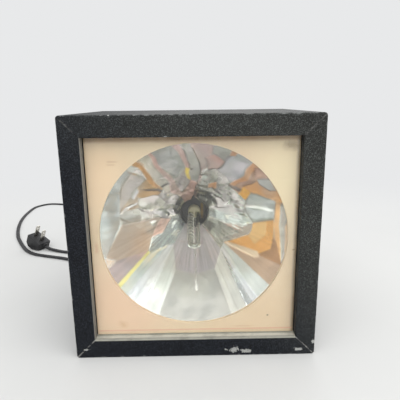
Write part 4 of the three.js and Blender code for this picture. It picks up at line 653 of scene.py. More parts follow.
def board_finish():
    material, tree, surface, _ = new_material("pebbled_black_paint")
    place = object_place(tree)
    pebbles = add(tree, "ShaderNodeTexVoronoi", {"Vector": place, "Scale": PEBBLE_SCALE}).outputs
    pebble_tone = add(tree, "ShaderNodeSeparateColor", {0: pebbles["Color"]}).outputs[0]
    x, _, z = split(tree, place)
    half = BOX_WIDTH / 2
    above = minus(tree, z, half)
    # Painted sheen: the dark, light and glint paints are all painted lighter towards the top right.
    sheen_to_top_right = ranged(tree, calculate(tree, "ADD", x, above), *PAINT_SHEEN_RAMP)
    dark, light, glint = (mixed(tree, sheen_to_top_right, paint(first), paint(second)) for first, second in (
        ("#0b0d12", "#262725"), ("#101318", "#2f302e"), ("#3d434c", "#6f7270")))
    tone = use_group(tree, mottle, Base=dark, Other=light, Amount=0.8, Scale=14.0, Grain_scale=900.0,
                     Grain=0.35)
    # Painted glint with the paint's grey speck: the lightest pebbles are mixed towards a pale colour.
    colour = mixed(tree, times(tree, ranged(tree, pebble_tone, 0.55, 1.0), SPARKLE), tone["Colour"], glint)
    wear = use_group(tree, edge_wear, Centre=(0, 0, half), Half=(half, BOX_DEPTH / 2, half),
                     Width=WEAR_WIDTH, Ragged_scale=170.0)["Mask"]
    colour = tinted(tree, colour, wear, WEAR_STRENGTH, "#8d8f8e")
    colour = mixed(tree, mitre_cracks(tree, place, x, above, z), colour, paint("#b4b3ae"))
    bare = 0.0
    for centre, stretch, radius, ragged in CHIPS:
        chip = spots(tree, centre, stretch, radius, Ragged=ragged, Ragged_scale=650.0)
        bare = calculate(tree, "MAXIMUM", chip, bare)
    colour = tinted(tree, colour, bare, CHIP_STRENGTH, "#aeafab")
    # Dust with painted light on the bottom ledge, painted light over the groove's shade and on the left inner
    # face.
    for low, high, code, strength in LEDGE_DUST_AND_LIGHT:
        speckle = ranged(tree, noise_at(tree, place, 90.0, 5.0, 0.7), 0.2, 0.6, 0.6, 1.0)
        dust_and_light = times(tree, within(tree, place, low, high, LEDGE_BLUR), speckle)
        colour = tinted(tree, colour, dust_and_light, strength, code)
    height = minus(tree, minus(tree, 1.0, pebbles["Distance"]), times(tree, bare, CHIP_DEPTH))
    feed(tree, surface.inputs, {
        "Base Color": colour, "Specular IOR Level": 0.15, "Normal": bump(tree, height, PEBBLE_DEPTH),
        "Roughness": ranged(tree, calculate(tree, "MAXIMUM", bare, wear), 0.0, 1.0, 0.5, 0.8)})
    return material


finish_node(board_finish(), "board_top", "board_bottom", "board_left", "board_right")
finish_node(finish["bare_pine"], *[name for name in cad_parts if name.startswith("corner_block")])
# The pale ledges hold dust and painted light.
print("chips in the paint:", len(CHIPS), "dusty ledges:", len(LEDGE_DUST_AND_LIGHT))

# %% [markdown]
# ## The cream panel and the window
#
# The panel is hardboard painted cream. It has yellowed unevenly: pinker at the lower left, paler at the upper
# right, with a brown stain in the top right corner and a few small marks. Each of these is a wide soft spot.
# Along its top edge runs a narrow brown band of painted shadow with a painted reflection of the wood, along
# its right edge a band of painted shadow, and along its foot a pink line of painted highlight from the
# window's edge. The window is a sheet of clear plastic in front of it.

# %% Panel and window finish
WIDE_STAIN = 10
PANEL_BLUR = 0.5 * MM
# Bands of painted shadow under the top edge and at the right edge.
TOP_SHADOW_BAND, RIGHT_SHADOW_BAND = (180.5 * MM, 184.5 * MM), (80.5 * MM, 84 * MM)
# A line of painted highlight along the foot, where the window's edge catches the light.
FOOT_HIGHLIGHT_LINE = ((-83, -70, 20.2), (83, -60, 20.9))
STAINS = [  # place in mm, stretch, radius in mm, ragged share, softness, colour, strength
    ((-60, -67, 45), (1.6, 1, 1.5), 44, 0.1, 0.1, "#f2cdae", 0.7),
    ((-74, -67, 150), (1.0, 1, 2.0), 30, 0.1, 0.1, "#f4d5b0", 0.7),
    ((70, -67, 150), (1.0, 1, 1.8), 34, 0.1, 0.1, "#f5e3bd", 0.8),
    ((77, -67, 178), (1.4, 1, 0.9), 7, 0.25, 0.0, "#9a7f5c", 0.6),
    ((-64, -67, 167), (2.2, 1, 0.35), 2.6, 0.5, 0.5, "#d8b491", 0.6),
    ((-64, -67, 164.6), (2.0, 1, 0.3), 2.4, 0.5, 0.5, "#d8b491", 0.6),
    ((-62, -67, 26), (1.2, 1, 1.0), 5, 0.4, 0.0, "#d3a873", 0.45),
    ((-80, -67, 95), (0.5, 1, 1.6), 4, 0.5, 0.3, "#e0b48f", 0.5),
    ((62, -67, 33), (1, 1, 1), 1.3, 0.3, 0.5, "#8f7d63", 0.7),
    ((40, -67, 23), (4, 1, 0.35), 3, 0.5, 0.3, "#d9b08c", 0.5),
    ((82, -67, 92), (0.6, 1, 0.25), 2.2, 0.5, 0.4, "#b08a5a", 0.7)]


def panel_finish():
    material, tree, surface, _ = new_material("cream_painted_hardboard")
    place = object_place(tree)
    tone = uneven(tree, "#ecd5b3", "#e6c9a6", Amount=0.7, Scale=16.0, Grain_scale=1400.0, Grain=0.12)
    colour = tone["Colour"]
    for centre, stretch, radius, ragged, softness, code, strength in STAINS:
        stain = spots(tree, centre, stretch, radius, Ragged=ragged, Core=softness,
                      Ragged_scale=90.0 if radius > WIDE_STAIN else 260.0)
        colour = tinted(tree, colour, stain, strength, code)
    x, _, z = split(tree, place)
    broken = ranged(tree, noise_at(tree, place, 60.0), 0.2, 0.7, 0.7, 1.0)
    # Painted shadow with a painted reflection of the wood, under the top edge.
    shade_under_top = ranged(tree, z, *TOP_SHADOW_BAND)
    # Painted shadow at the right edge.
    shade_at_right = ranged(tree, x, *RIGHT_SHADOW_BAND)
    # Painted highlight along the foot.
    highlight_at_foot = within(tree, place, *FOOT_HIGHLIGHT_LINE, PANEL_BLUR)
    for band, strength, code in (
            (shade_under_top, 0.9, "#a97c45"), (shade_at_right, 0.8, "#6f563c"), (highlight_at_foot, 0.6, "#e7a98f")):
        colour = tinted(tree, colour, band, times(tree, broken, strength), code)
    feed(tree, surface.inputs, {
        "Base Color": colour, "Roughness": gloss_of(tree, tone["Cloud"], 0.5, 0.65),
        "Normal": bump(tree, tone["Height"], 0.03 * MM)})
    return material


finish_node(panel_finish(), "front_mask")
finish_node(clear_finish("clear_sheet", "#fbfdfc", 1.45), "front_window")
print("stains on the panel:", len(STAINS))

# %% [markdown]
# ## The mirrored film
#
# The reflector is one flat sheet of mirrored film, rolled into a cone and lapped at the top. Unrolled, the
# cone is a fan, so the folds are drawn on the fan as facets: long strips from the narrow to the wide end at
# the bottom, and patches higher up. Each corner of a facet stands a little off the true cone, in or out, and
# the sheet is flat between them. On top come smaller things: pinched crests, folds pressed sharp, dents where
# the sheet was handled, fine pleats where it was drawn together at the neck, and a slow swell, since film is
# springy. The borders of the upper facets wander a little, by chance that has a fixed seed. Rolling the fine
# grid up gives facets that mirror the room in separate directions. The sheet was cut by hand, so its inner
# edge is a slight bow and both edges have a notch at the neck.
#
# Old film is hazy in places. Each facet's tone is a painted reflection of the room, and the crests, creases,
# dents and pleats add painted highlights, painted reflections and painted shade. Tone and haze are kept on
# the mesh, so that the finish can read them.

# %% Film shape
LAMP_HEIGHT = 103.6
MOUTH_RADIUS = 78.5
APEX_RADIUS = 14.0
MOUTH_Y = -63.5
APEX_Y = 11.0
FILM_THICKNESS = 0.4
SLANT = math.hypot(MOUTH_RADIUS - APEX_RADIUS, MOUTH_Y - APEX_Y)
SIN_HALF = (MOUTH_RADIUS - APEX_RADIUS) / SLANT
COS_HALF = (APEX_Y - MOUTH_Y) / SLANT

# Rises in millimetres, and the seeds and lengths in millimetres of the chance behind them.
FOLD_RISE, FOLD_RISE_LOW, MOST_RISE = 4.2, 1.3, 2.4
FOLD_SEED, FOLD_SPREAD = 3.0, 0.37
FOLD_ROUNDING, TONE_BLEND = 1.6, 0.6
UPPER_FROM, UPPER_BLEND = -40, 25
# Gain on the painted reflection tones of the facets.
FILM_REFLECTION_GAIN = (1.13, 1.11, 1.10)
BEND, BEND_PLANE, BEND_LENGTH, BEND_SEED = 3.6, 2.0, 19.0, 1
# Painted paler reflection, washed over the upper facets in places by chance.
WASH, WASH_AMOUNT, WASH_SEED, WASH_LENGTH = paint("#d4d2ca"), 0.45, 21.0, 24.0
# The tone shares of dents, creases and pleats below are painted light and painted shade.
CRUMPLE_SIZE, CRUMPLE_SLOPE, CRUMPLE_PAINTED_SHADE, CRUMPLE_SPREAD = 7.5, 0.22, 0.20, 37.7
CRUMPLE_BLEND, CRUMPLE_SEED, CRUMPLE_LENGTH = 20, 14.0, 26
CRUMPLE_BEGINS, CRUMPLE_ENDS = (0.02, 0.15), (0.50, 0.72)
CREST_RISE, CREST_SEED = 0.8, 4.5
CREASE_RISE, CREASE_PAINTED_SHADE, CREASE_LEAST, CREASE_SEED = 0.45, 0.30, 0.25, 7.5
WORN_SEED, WORN_LENGTH = 31.0, 9
ARC_HALF, ARC_CREASE, LOW_CREASE = 25, 0.15, 0.4
PLEAT_DEGREES, PLEAT_STRETCH, PLEAT_SEED = 2.2, 1.5, 12.0
PLEAT_RISE, PLEAT_PAINTED_SHADE = 0.07, 0.16
PLEAT_NECK, PLEAT_NECK_ENDS = 1.4, (0.40, 0.55)
SWELL, SWELL_LOW, SWELL_SEED, SWELL_LENGTH = 0.6, 0.12, 5.0, 22
RIPPLE, RIPPLE_SEED, RIPPLE_LENGTH = 0.25, 9.0, 9
LAST_DEGREE = 454.5
LAP_LIFT, LAP_BEGINS, LAP_FULL = 0.9, LAST_DEGREE - 21, LAST_DEGREE - 14
SEAM_START = 80
RIM, NECK = 1.1, -0.05
print("flat sheet, mm from its centre:", round(APEX_RADIUS / SIN_HALF, 1), round(MOUTH_RADIUS / SIN_HALF, 1))

# %% Facets drawn one by one
# Small pinched folds that lie on top of the facets, in the same form as the facets below. Their tones are
# painted highlights, painted reflections and painted shade; the first is a painted reflection of the flash
# tube.
PAINTED_LIGHT_CRESTS = [
    ("#e6e3de", 0.30, [(268.5, 0.10), (273.5, 0.10), (272, 0.72), (270.5, 0.72)]),
    ("#f6dcbc", 0.70, [(324, 0.34), (339, 0.72), (336, 0.76), (333, 0.72), (323, 0.38)]),
    ("#f8c684", 0.80, [(362, 0.62), (366, 0.76), (354, 0.75), (343, 0.66), (347, 0.56)]),
    ("#ecbc84", 0.75, [(383, 0.92), (364, 0.84), (355, 0.86), (341, 0.98), (351, 0.93), (365, 0.90),
        (380, 0.96)]),
    ("#bcb8ae", 0.50, [(380, 0.96), (365, 0.90), (351, 0.93), (341, 0.98), (341, RIM), (349, 0.98),
        (365, 0.96), (378, RIM)]),
    ("#f3f2ea", 0.40, [(381, 0.54), (376, 0.86), (374, 0.85), (378, 0.53)]),
    ("#b3b4b4", 0.50, [(400, 0.89), (398, 0.99), (389, 0.98), (389, 0.91), (395, 0.86)]),
    ("#d9b09c", 0.60, [(409, 0.94), (403, RIM), (398, 0.99), (401, 0.87)]),
    ("#cfa99f", 0.55, [(440, 0.76), (435, 0.83), (427, 0.78), (426, 0.63), (435, 0.60)]),
    ("#dca97a", 0.60, [(429, 0.37), (421, 0.43), (415, 0.34), (424, 0.28)]),
    ("#fbfaf4", 0.40, [(167, 0.80), (160, 0.74), (153, 0.61), (156, 0.61), (163, 0.73)]),
    ("#fbfaf4", 0.40, [(152, 0.74), (143, 0.73), (145, 0.68), (152, 0.69)]),
    ("#77706a", 0.50, [(142, 0.70), (137, 0.56), (133, 0.42), (136, 0.41), (140, 0.55)]),
    ("#7a736c", 0.50, [(409, 0.50), (397, 0.57), (397, 0.61), (408, 0.54)]),
    ("#f6f5ee", 0.30, [(188, 0.38), (179, 0.42), (181, 0.33)]),
    ("#f4f3ec", 0.30, [(385, 0.26), (392, 0.41), (388, 0.40), (382, 0.28)]),
    ("#f2f1ea", 0.30, [(222, 0.10), (215, 0.23), (229, 0.20)])]

# Facets of the folded sheet: painted reflection tone, haze, corners as (degrees round from the right, share
# from neck to rim).
# The degrees go on from 90 at the top over the left and the bottom to 450 at the top again.
FACETS = [
    ("#aeada6", 0.72, [(248, 0.52), (271, 0.53), (293, 0.52), (294, RIM), (270, RIM), (246, RIM)]),
    ("#cfc9cb", 0.45, [(228, NECK), (232, 0.29), (248, 0.52), (271, 0.53), (293, 0.52), (311, 0.37),
        (302, NECK)]),
    ("#d9dcd5", 0.55, [(246, RIM), (248, 0.52), (232, 0.29), (236, RIM)]),
    ("#f0f3f2", 0.50, [(236, RIM), (232, 0.29), (227, RIM)]),
    ("#eff6f5", 0.50, [(227, RIM), (232, 0.29), (224, 0.34), (221, RIM)]),
    ("#e2efe9", 0.45, [(221, RIM), (224, 0.34), (213, 0.54), (216, RIM)]),
    ("#f3ea9c", 0.70, [(216, RIM), (213, 0.54), (210, 0.54), (213, RIM)]),
    ("#d0c8cb", 0.45, [(213, RIM), (210, 0.54), (200, 0.87), (202, RIM)]),
    ("#c4b6a6", 0.75, [(177, 0.27), (199, 0.43), (210, 0.54), (200, 0.87), (194, 0.97), (175, 0.76)]),
    ("#e6c3b2", 0.80, [(184, 0.12), (204, 0.30), (199, 0.43), (177, 0.27)]),
    ("#cfd7d8", 0.30, [(184, NECK), (184, 0.12), (204, 0.30), (199, 0.43), (210, 0.54), (213, 0.54),
        (224, 0.34), (232, 0.29), (228, NECK)]),
    ("#f2efe9", 0.30, [(202, RIM), (200, 0.87), (194, 0.97), (196, RIM)]),
    ("#ccd1cf", 0.40, [(196, RIM), (194, 0.97), (175, 0.76), (164, 0.80), (150, 0.90), (150, RIM),
        (172, RIM)]),
    ("#c4c8c6", 0.40, [(150, RIM), (150, 0.90), (140, 0.92), (133, 0.92), (134, RIM)]),
    ("#fbf6ee", 0.40, [(134, RIM), (133, 0.92), (128, 0.90), (128, RIM)]),
    ("#bdb7ad", 0.50, [(150, 0.90), (140, 0.92), (133, 0.92), (132, 0.73), (147, 0.73), (164, 0.80)]),
    ("#c3b29b", 0.55, [(164, 0.80), (147, 0.73), (149, 0.63), (160, 0.58)]),
    ("#c9a878", 0.65, [(147, 0.73), (132, 0.73), (136, 0.42), (143, 0.42), (149, 0.63)]),
    ("#bcbab3", 0.35, [(164, 0.80), (160, 0.58), (168, 0.40), (177, 0.27), (175, 0.76)]),
    ("#c7c5be", 0.30, [(160, 0.58), (149, 0.63), (143, 0.42), (152, 0.18), (168, 0.40)]),
    ("#bdbdb6", 0.25, [(143, 0.42), (136, 0.42), (128, 0.24), (128, NECK), (156, NECK), (152, 0.18)]),
    ("#c9cbc6", 0.25, [(156, NECK), (152, 0.18), (168, 0.40), (177, 0.27), (184, 0.12), (184, NECK)]),
    ("#d3a36b", 0.75, [(128, RIM), (128, 0.90), (132, 0.73), (136, 0.42), (132, 0.43), (128, 0.73),
        (123, RIM)]),
    ("#d8d0c6", 0.45, [(123, RIM), (128, 0.73), (132, 0.43), (128, 0.24), (121, 0.45), (119, 0.80),
        (118, RIM)]),
    ("#dfb9ad", 0.60, [(118, RIM), (119, 0.80), (121, 0.45), (128, 0.24), (116, 0.22), (115, 0.48),
        (115, 0.80)]),
    ("#aeb1ab", 0.50, [(115, 0.80), (115, 0.48), (103, 0.50), (97, 0.60), (103, 0.95), (104, RIM),
        (118, RIM)]),
    ("#d3b7ae", 0.55, [(104, RIM), (103, 0.95), (97, 0.60), (93, 0.56), (98, 0.97), (99, RIM)]),
    ("#f0d664", 0.85, [(97, 0.60), (93, 0.56), (94, 0.40), (97, 0.44)]),
    ("#b9afa9", 0.45, [(97, 0.60), (97, 0.44), (94, 0.40), (100, 0.30), (116, 0.22), (115, 0.48),
        (103, 0.50)]),
    ("#dab5a8", 0.60, [(94, 0.40), (100, 0.30), (116, 0.22), (128, 0.24), (128, NECK), (SEAM_START, NECK),
        (SEAM_START, 0.30)]),
    ("#b7b6b1", 0.40, [(99, RIM), (98, 0.97), (93, 0.56), (94, 0.40), (SEAM_START, 0.30), (SEAM_START, RIM)]),
    ("#c7b0ab", 0.55, [(460, RIM), (460, 0.30), (440, 0.48), (436, 0.75), (437, RIM)]),
    ("#a4a39e", 0.50, [(437, RIM), (436, 0.75), (429, 0.63), (425, 0.90), (428, RIM)]),
    ("#dca06a", 0.80, [(428, RIM), (425, 0.90), (422, 0.93), (423, RIM)]),
    ("#b1b1b5", 0.45, [(423, RIM), (422, 0.93), (425, 0.90), (429, 0.63), (409, 0.54), (409, 0.78),
        (414, RIM)]),
    ("#dca06a", 0.80, [(414, RIM), (409, 0.78), (409, 0.54), (404, 0.52), (404, 0.77), (410, RIM)]),
    ("#b9b8b0", 0.30, [(440, 0.48), (429, 0.63), (409, 0.54), (404, 0.52), (412, 0.22), (440, 0.15)]),
    ("#c9b3aa", 0.35, [(460, 0.30), (440, 0.48), (440, 0.15), (440, NECK), (460, NECK)]),
    ("#cfa98d", 0.65, [(410, RIM), (404, 0.77), (399, 0.88), (389, RIM)]),
    ("#bf9c83", 0.55, [(404, 0.77), (404, 0.52), (395, 0.52), (398, 0.64), (399, 0.88)]),
    ("#f2b85c", 0.80, [(395, 0.52), (387, 0.56), (390, 0.68), (398, 0.64)]),
    ("#e0a868", 0.75, [(389, RIM), (399, 0.88), (398, 0.64), (390, 0.68), (382, 0.90), (378, RIM)]),
    ("#aeb1ab", 0.40, [(390, 0.68), (387, 0.56), (372, 0.52), (362, 0.60), (368, 0.84), (382, 0.90)]),
    ("#c6c6bf", 0.25, [(412, 0.22), (404, 0.52), (395, 0.52), (387, 0.56), (378, 0.25), (380, NECK),
        (412, NECK)]),
    ("#b9b9b2", 0.25, [(412, NECK), (412, 0.22), (440, 0.15), (440, NECK)]),
    ("#c2c3bb", 0.25, [(378, 0.25), (387, 0.56), (372, 0.52), (362, 0.60), (352, 0.30), (352, NECK),
        (380, NECK)]),
    ("#d2d0c6", 0.25, [(352, NECK), (352, 0.30), (362, 0.60), (350, 0.58), (338, 0.45), (321, 0.34),
        (311, 0.37), (302, NECK)]),
    ("#f0b468", 0.85, [(362, 0.60), (368, 0.84), (355, 0.84), (346, 0.84), (336, 0.72), (321, 0.34),
        (338, 0.45), (350, 0.58)]),
    ("#cfb394", 0.75, [(378, RIM), (382, 0.90), (368, 0.84), (355, 0.84), (341, RIM), (358, RIM)]),
    ("#b98f66", 0.70, [(355, 0.84), (346, 0.84), (336, 0.72), (341, RIM)]),
    ("#c6ab90", 0.70, [(336, 0.72), (321, 0.34), (325, RIM), (341, RIM)]),
    ("#dfe3db", 0.55, [(325, RIM), (321, 0.34), (313, 0.56), (314, RIM)]),
    ("#f6faf8", 0.40, [(314, RIM), (313, 0.56), (321, 0.34), (311, 0.37), (309, RIM)]),
    ("#d3d6d5", 0.20, [(309, RIM), (311, 0.37), (304, RIM)]),
    ("#e6e5db", 0.55, [(304, RIM), (311, 0.37), (293, 0.52), (294, RIM)])]

# %% Facets on the flat sheet
# The painted reflection tones of the facets, with their haze.
FACET_REFLECTION_TONES = [(*(min(1, part * gain) for part, gain in zip(paint(code), FILM_REFLECTION_GAIN)), haze)
               for code, haze, _ in PAINTED_LIGHT_CRESTS + FACETS]
BOTTOM_FACET = len(PAINTED_LIGHT_CRESTS)


def on_fan(degrees, share):
    """A place on the unrolled sheet, in millimetres, with the bottom of the cone along -Y."""
    reach = (APEX_RADIUS + (MOUTH_RADIUS - APEX_RADIUS) * share) / SIN_HALF
    turn = math.radians(degrees - 270) * SIN_HALF
    return Vector((reach * math.sin(turn), -reach * math.cos(turn)))


def fan_share(place):
    """The turn in degrees round the cone and the share from neck to rim of a place on the sheet."""
    share = (place.length * SIN_HALF - APEX_RADIUS) / (MOUTH_RADIUS - APEX_RADIUS)
    return 270 + math.degrees(math.atan2(place.x, -place.y)) / SIN_HALF, share


def chance_at(place, seed, length):
    """Smooth chance over the sheet, between about -1 and 1, that changes over a length."""
    return noise.noise(Vector((place.x, place.y, seed)) / length)


def flat_through(points):
    """The plane z = a x + b y + c that lies nearest to some points."""
    squares, sums = Matrix(((0, 0, 0), (0, 0, 0), (0, 0, 0))), Vector((0, 0, 0))
    for point in points:
        row = Vector((point.x, point.y, 1))
        squares += Matrix([row * part for part in row])
        sums += row * point.z
    return squares.inverted() @ sums


def make_fold_pattern():
    """The facets as one net of triangles, each triangle's facet, and the plane of every facet."""
    corners, facets, planes = [], [], []
    for number, (_, _, outline) in enumerate(PAINTED_LIGHT_CRESTS + FACETS):
        facet = range(len(corners), len(corners) + len(outline))
        corners.extend(on_fan(*corner) for corner in outline)
        area = sum(corners[a].cross(corners[b]) for a, b in zip(facet, [*facet[1:], facet[0]]))
        facets.append(list(facet) if area > 0 else list(facet)[::-1])
        if number < len(PAINTED_LIGHT_CRESTS):
            chance = noise.cell(Vector((number + 0.5, 0.5, CREST_SEED)))
            planes.append(Vector((0, 0, CREST_RISE * chance)))
            continue
        raised = []
        for x, y in (corners[k] for k in facet):
            chance = noise.noise(Vector((x, y, FOLD_SEED)) * FOLD_SPREAD)
            raised.append(Vector((x, y, (FOLD_RISE if y > UPPER_FROM else FOLD_RISE_LOW) * chance)))
        planes.append(flat_through(raised))
    places, _, triangles, _, _, owners = geometry.delaunay_2d_cdt(corners, [], facets, 0, 0.01)
    net = BVHTree.FromPolygons([Vector((place.x, place.y, 0)) for place in places], triangles)
    return net, [min(owner, default=0) for owner in owners], planes


noise.seed_set(BEND_SEED)
fold_net, facet_of, facet_planes = make_fold_pattern()
print("folded facets:", len(FACETS), "crests:", len(PAINTED_LIGHT_CRESTS), "triangles:", len(facet_of))


# %% Dents, creases and pleats
def crumple(place):
    """Small flat dents where the sheet was handled: their rise, and the painted shade that makes each one
    look lighter or darker.
    """
    _, share = fan_share(place)
    amount = smoothstep(place.y, UPPER_FROM, UPPER_FROM + CRUMPLE_BLEND)
    amount *= smoothstep(share, *CRUMPLE_BEGINS) * (1 - smoothstep(share, *CRUMPLE_ENDS))
    amount *= smoothstep(chance_at(place, CRUMPLE_SEED, CRUMPLE_LENGTH), -0.25, 0.15)
    if amount <= 0:
        return 0.0, 1.0
    spot_at = Vector((place.x, place.y, 0)) / CRUMPLE_SIZE
    middle = noise.voronoi(spot_at)[1][0]
    tilt = noise.cell_vector(middle * CRUMPLE_SPREAD)
    away = (spot_at - middle) * CRUMPLE_SIZE
    rise = CRUMPLE_SLOPE * ((tilt.x - 0.5) * away.x + (tilt.y - 0.5) * away.y) * 2
    return amount * rise, 1 + amount * CRUMPLE_PAINTED_SHADE * (tilt.z - 0.5) * 2


def fold_at(place):
    """The rise of the folded sheet in millimetres, its painted reflection tone with its haze, and its facet.
    """
    upper = smoothstep(place.y, UPPER_FROM, UPPER_FROM + UPPER_BLEND)
    shift = BEND * upper * noise.noise_vector(Vector((place.x, place.y, BEND_PLANE)) / BEND_LENGTH)
    above = Vector((place.x + shift.x, place.y + shift.y, 1.0))
    hit, _, triangle, _ = fold_net.ray_cast(above, Vector((0, 0, -1)))
    if hit is None:
        return 0.0, FACET_REFLECTION_TONES[0], 0
    facet = facet_of[triangle]
    rise = min(max(facet_planes[facet].dot(above), -MOST_RISE), MOST_RISE)
    small, light = crumple(place)
    wash = WASH_AMOUNT * upper * smoothstep(chance_at(place, WASH_SEED, WASH_LENGTH), -0.3, 0.5)
    *tone, haze = FACET_REFLECTION_TONES[facet]
    tone = [(part + (pale - part) * wash) * light for part, pale in zip(tone, WASH)]
    return rise + small, (*tone, haze), facet


def crease(place, facets):
    """Some folds are pressed sharp: such a fold stands up or in a little, and gets a painted light or dark
    line, as its chance falls.
    """
    if len(facets) < 2:
        return 0.0, 1.0
    pair = Vector([k - len(PAINTED_LIGHT_CRESTS) + 1.5 for k in (min(facets), max(facets))] + [CREASE_SEED])
    chance = noise.cell(pair)
    if abs(chance) < CREASE_LEAST:
        return 0.0, 1.0
    worn = smoothstep(chance_at(place, WORN_SEED, WORN_LENGTH), -0.4, 0.2)
    if place.y < UPPER_FROM:
        worn *= ARC_CREASE if abs(place.x) < ARC_HALF else LOW_CREASE
    return worn * chance * CREASE_RISE, 1 + worn * chance * CREASE_PAINTED_SHADE


def pleat(place, facets):
    """Fine creases from the neck to the rim in the lower part, where the sheet was drawn together, with
    painted light and shade along them.
    """
    if BOTTOM_FACET in facets:
        return 0.0, 1.0
    degrees, share = fan_share(place)
    amount = 1 - smoothstep(place.y, UPPER_FROM, UPPER_FROM + UPPER_BLEND)
    amount *= 1 + PLEAT_NECK * (1 - smoothstep(share, *PLEAT_NECK_ENDS))
    fine = noise.noise(Vector((degrees / PLEAT_DEGREES, share * PLEAT_STRETCH, PLEAT_SEED)))
    return amount * fine * PLEAT_RISE, 1 + amount * fine * PLEAT_PAINTED_SHADE


# %% Rounded folds, rolled up into the cone
def rounded_fold(place):
    """The rise averaged over a disc, which rounds every fold, and the tone over a smaller one."""
    rises, tones, facets = [], [], set()
    for ring, count in ((0.0, 2), (TONE_BLEND, 5), (FOLD_ROUNDING / 2, 6), (FOLD_ROUNDING, 9)):
        for k in range(count):
            angle = 2 * math.pi * k / count
            rise, tone, facet = fold_at(place + ring * Vector((math.cos(angle), math.sin(angle))))
            rises.append(rise)
            if ring <= TONE_BLEND:
                tones.append(tone)
                facets.add(facet)
    crease_rise, crease_light = crease(place, facets)
    pleat_rise, pleat_light = pleat(place, facets)
    light = crease_light * pleat_light
    *tone, haze = (sum(parts) / len(parts) for parts in zip(*tones))
    return sum(rises) / len(rises) + crease_rise + pleat_rise, (*(part * light for part in tone), haze)


def film_point(place, fold):
    """Rolls a place on the sheet up into the cone. The lapped end lifts behind the first one."""
    degrees, share = fan_share(place)
    swell = chance_at(place, SWELL_SEED, SWELL_LENGTH) + RIPPLE * chance_at(place, RIPPLE_SEED, RIPPLE_LENGTH)
    amount = SWELL if place.y > UPPER_FROM else SWELL_LOW
    rise = (fold + amount * swell) * smoothstep(share, 0.0, 0.12)
    rise = min(rise, (1 - share) * SLANT)
    off = rise - LAP_LIFT * smoothstep(degrees, LAP_BEGINS, LAP_FULL)
    radius = APEX_RADIUS + (MOUTH_RADIUS - APEX_RADIUS) * share - COS_HALF * off
    y = APEX_Y + (MOUTH_Y - APEX_Y) * share - SIN_HALF * off
    turn = math.radians(degrees)
    return Vector((radius * math.cos(turn), y, LAMP_HEIGHT + radius * math.sin(turn))) * MM


# %% [markdown]
# ## The film as a mesh
#
# The sheet's outline and an even grid of points inside it are joined into triangles while it is still flat,
# and only then rolled up. Along the wide edge the sheet is slit into tabs, which fold flat behind the panel.
# A wall modifier gives it its thickness. Vacuum-plated film is a near perfect mirror when new. Where it has
# gone hazy it scatters light in the tone of its facet instead, so haze takes some of the metal away and
# spreads the gloss.

# %% Film outline and points
FIRST_DEGREE = 90.5
SEAM_BOW = 8.0
NOTCH, NOTCH_SHARE = 9.0, 0.12
RIM_STEPS, NECK_STEPS, SIDE_STEPS, LAP_STEPS = 448, 96, 80, 6
GRID_STEP = 1.0
EDGE_SHARE, EDGE_DEGREES = GRID_STEP / SLANT * 0.7, 0.8
TABS, TAB_LENGTH, TAB_SHARE = 16, 3.0, 3 / 5
FOLD_SHARP = math.radians(40)


def seam_edges(share):
    """The degrees at which the sheet starts and ends."""
    notch = NOTCH * (1 - smoothstep(share, 0.0, NOTCH_SHARE))
    bow = SEAM_BOW * math.sin(math.pi * share) ** 2
    return FIRST_DEGREE - bow + notch, LAST_DEGREE - notch


def on_sheet(place, share_gap=0.0, degree_gap=0.0):
    """Whether a place is inside the sheet's outline, by at least some gap."""
    degrees, share = fan_share(place)
    if not share_gap < share < 1 - share_gap:
        return False
    first, last = seam_edges(share)
    return first + degree_gap < degrees < last - degree_gap


def fan_border():
    """The outline of the sheet: the rim, the last edge, the neck and the first edge."""
    sweep = LAST_DEGREE - FIRST_DEGREE
    rim = [on_fan(FIRST_DEGREE + sweep * k / RIM_STEPS, 1) for k in range(RIM_STEPS + 1)]
    first, last = seam_edges(0)
    neck = [on_fan(last - (last - first) * k / NECK_STEPS, 0) for k in range(NECK_STEPS + 1)]
    shares = [k / SIDE_STEPS for k in range(1, SIDE_STEPS)]
    last_side = [on_fan(seam_edges(share)[1], share) for share in reversed(shares)]
    first_side = [on_fan(seam_edges(share)[0], share) for share in shares]
    return rim + last_side + neck + first_side


def fan_points(border):
    """The border, then evenly spaced places inside it in rows that are half a step apart."""
    rows = int(2 * SLANT / GRID_STEP) * 2
    places = (Vector(((column + row % 2 / 2) * GRID_STEP, row * GRID_STEP * math.sqrt(0.75)))
              for row in range(-rows, rows) for column in range(-rows, rows))
    return border + [place for place in places if on_sheet(place, EDGE_SHARE, EDGE_DEGREES)]


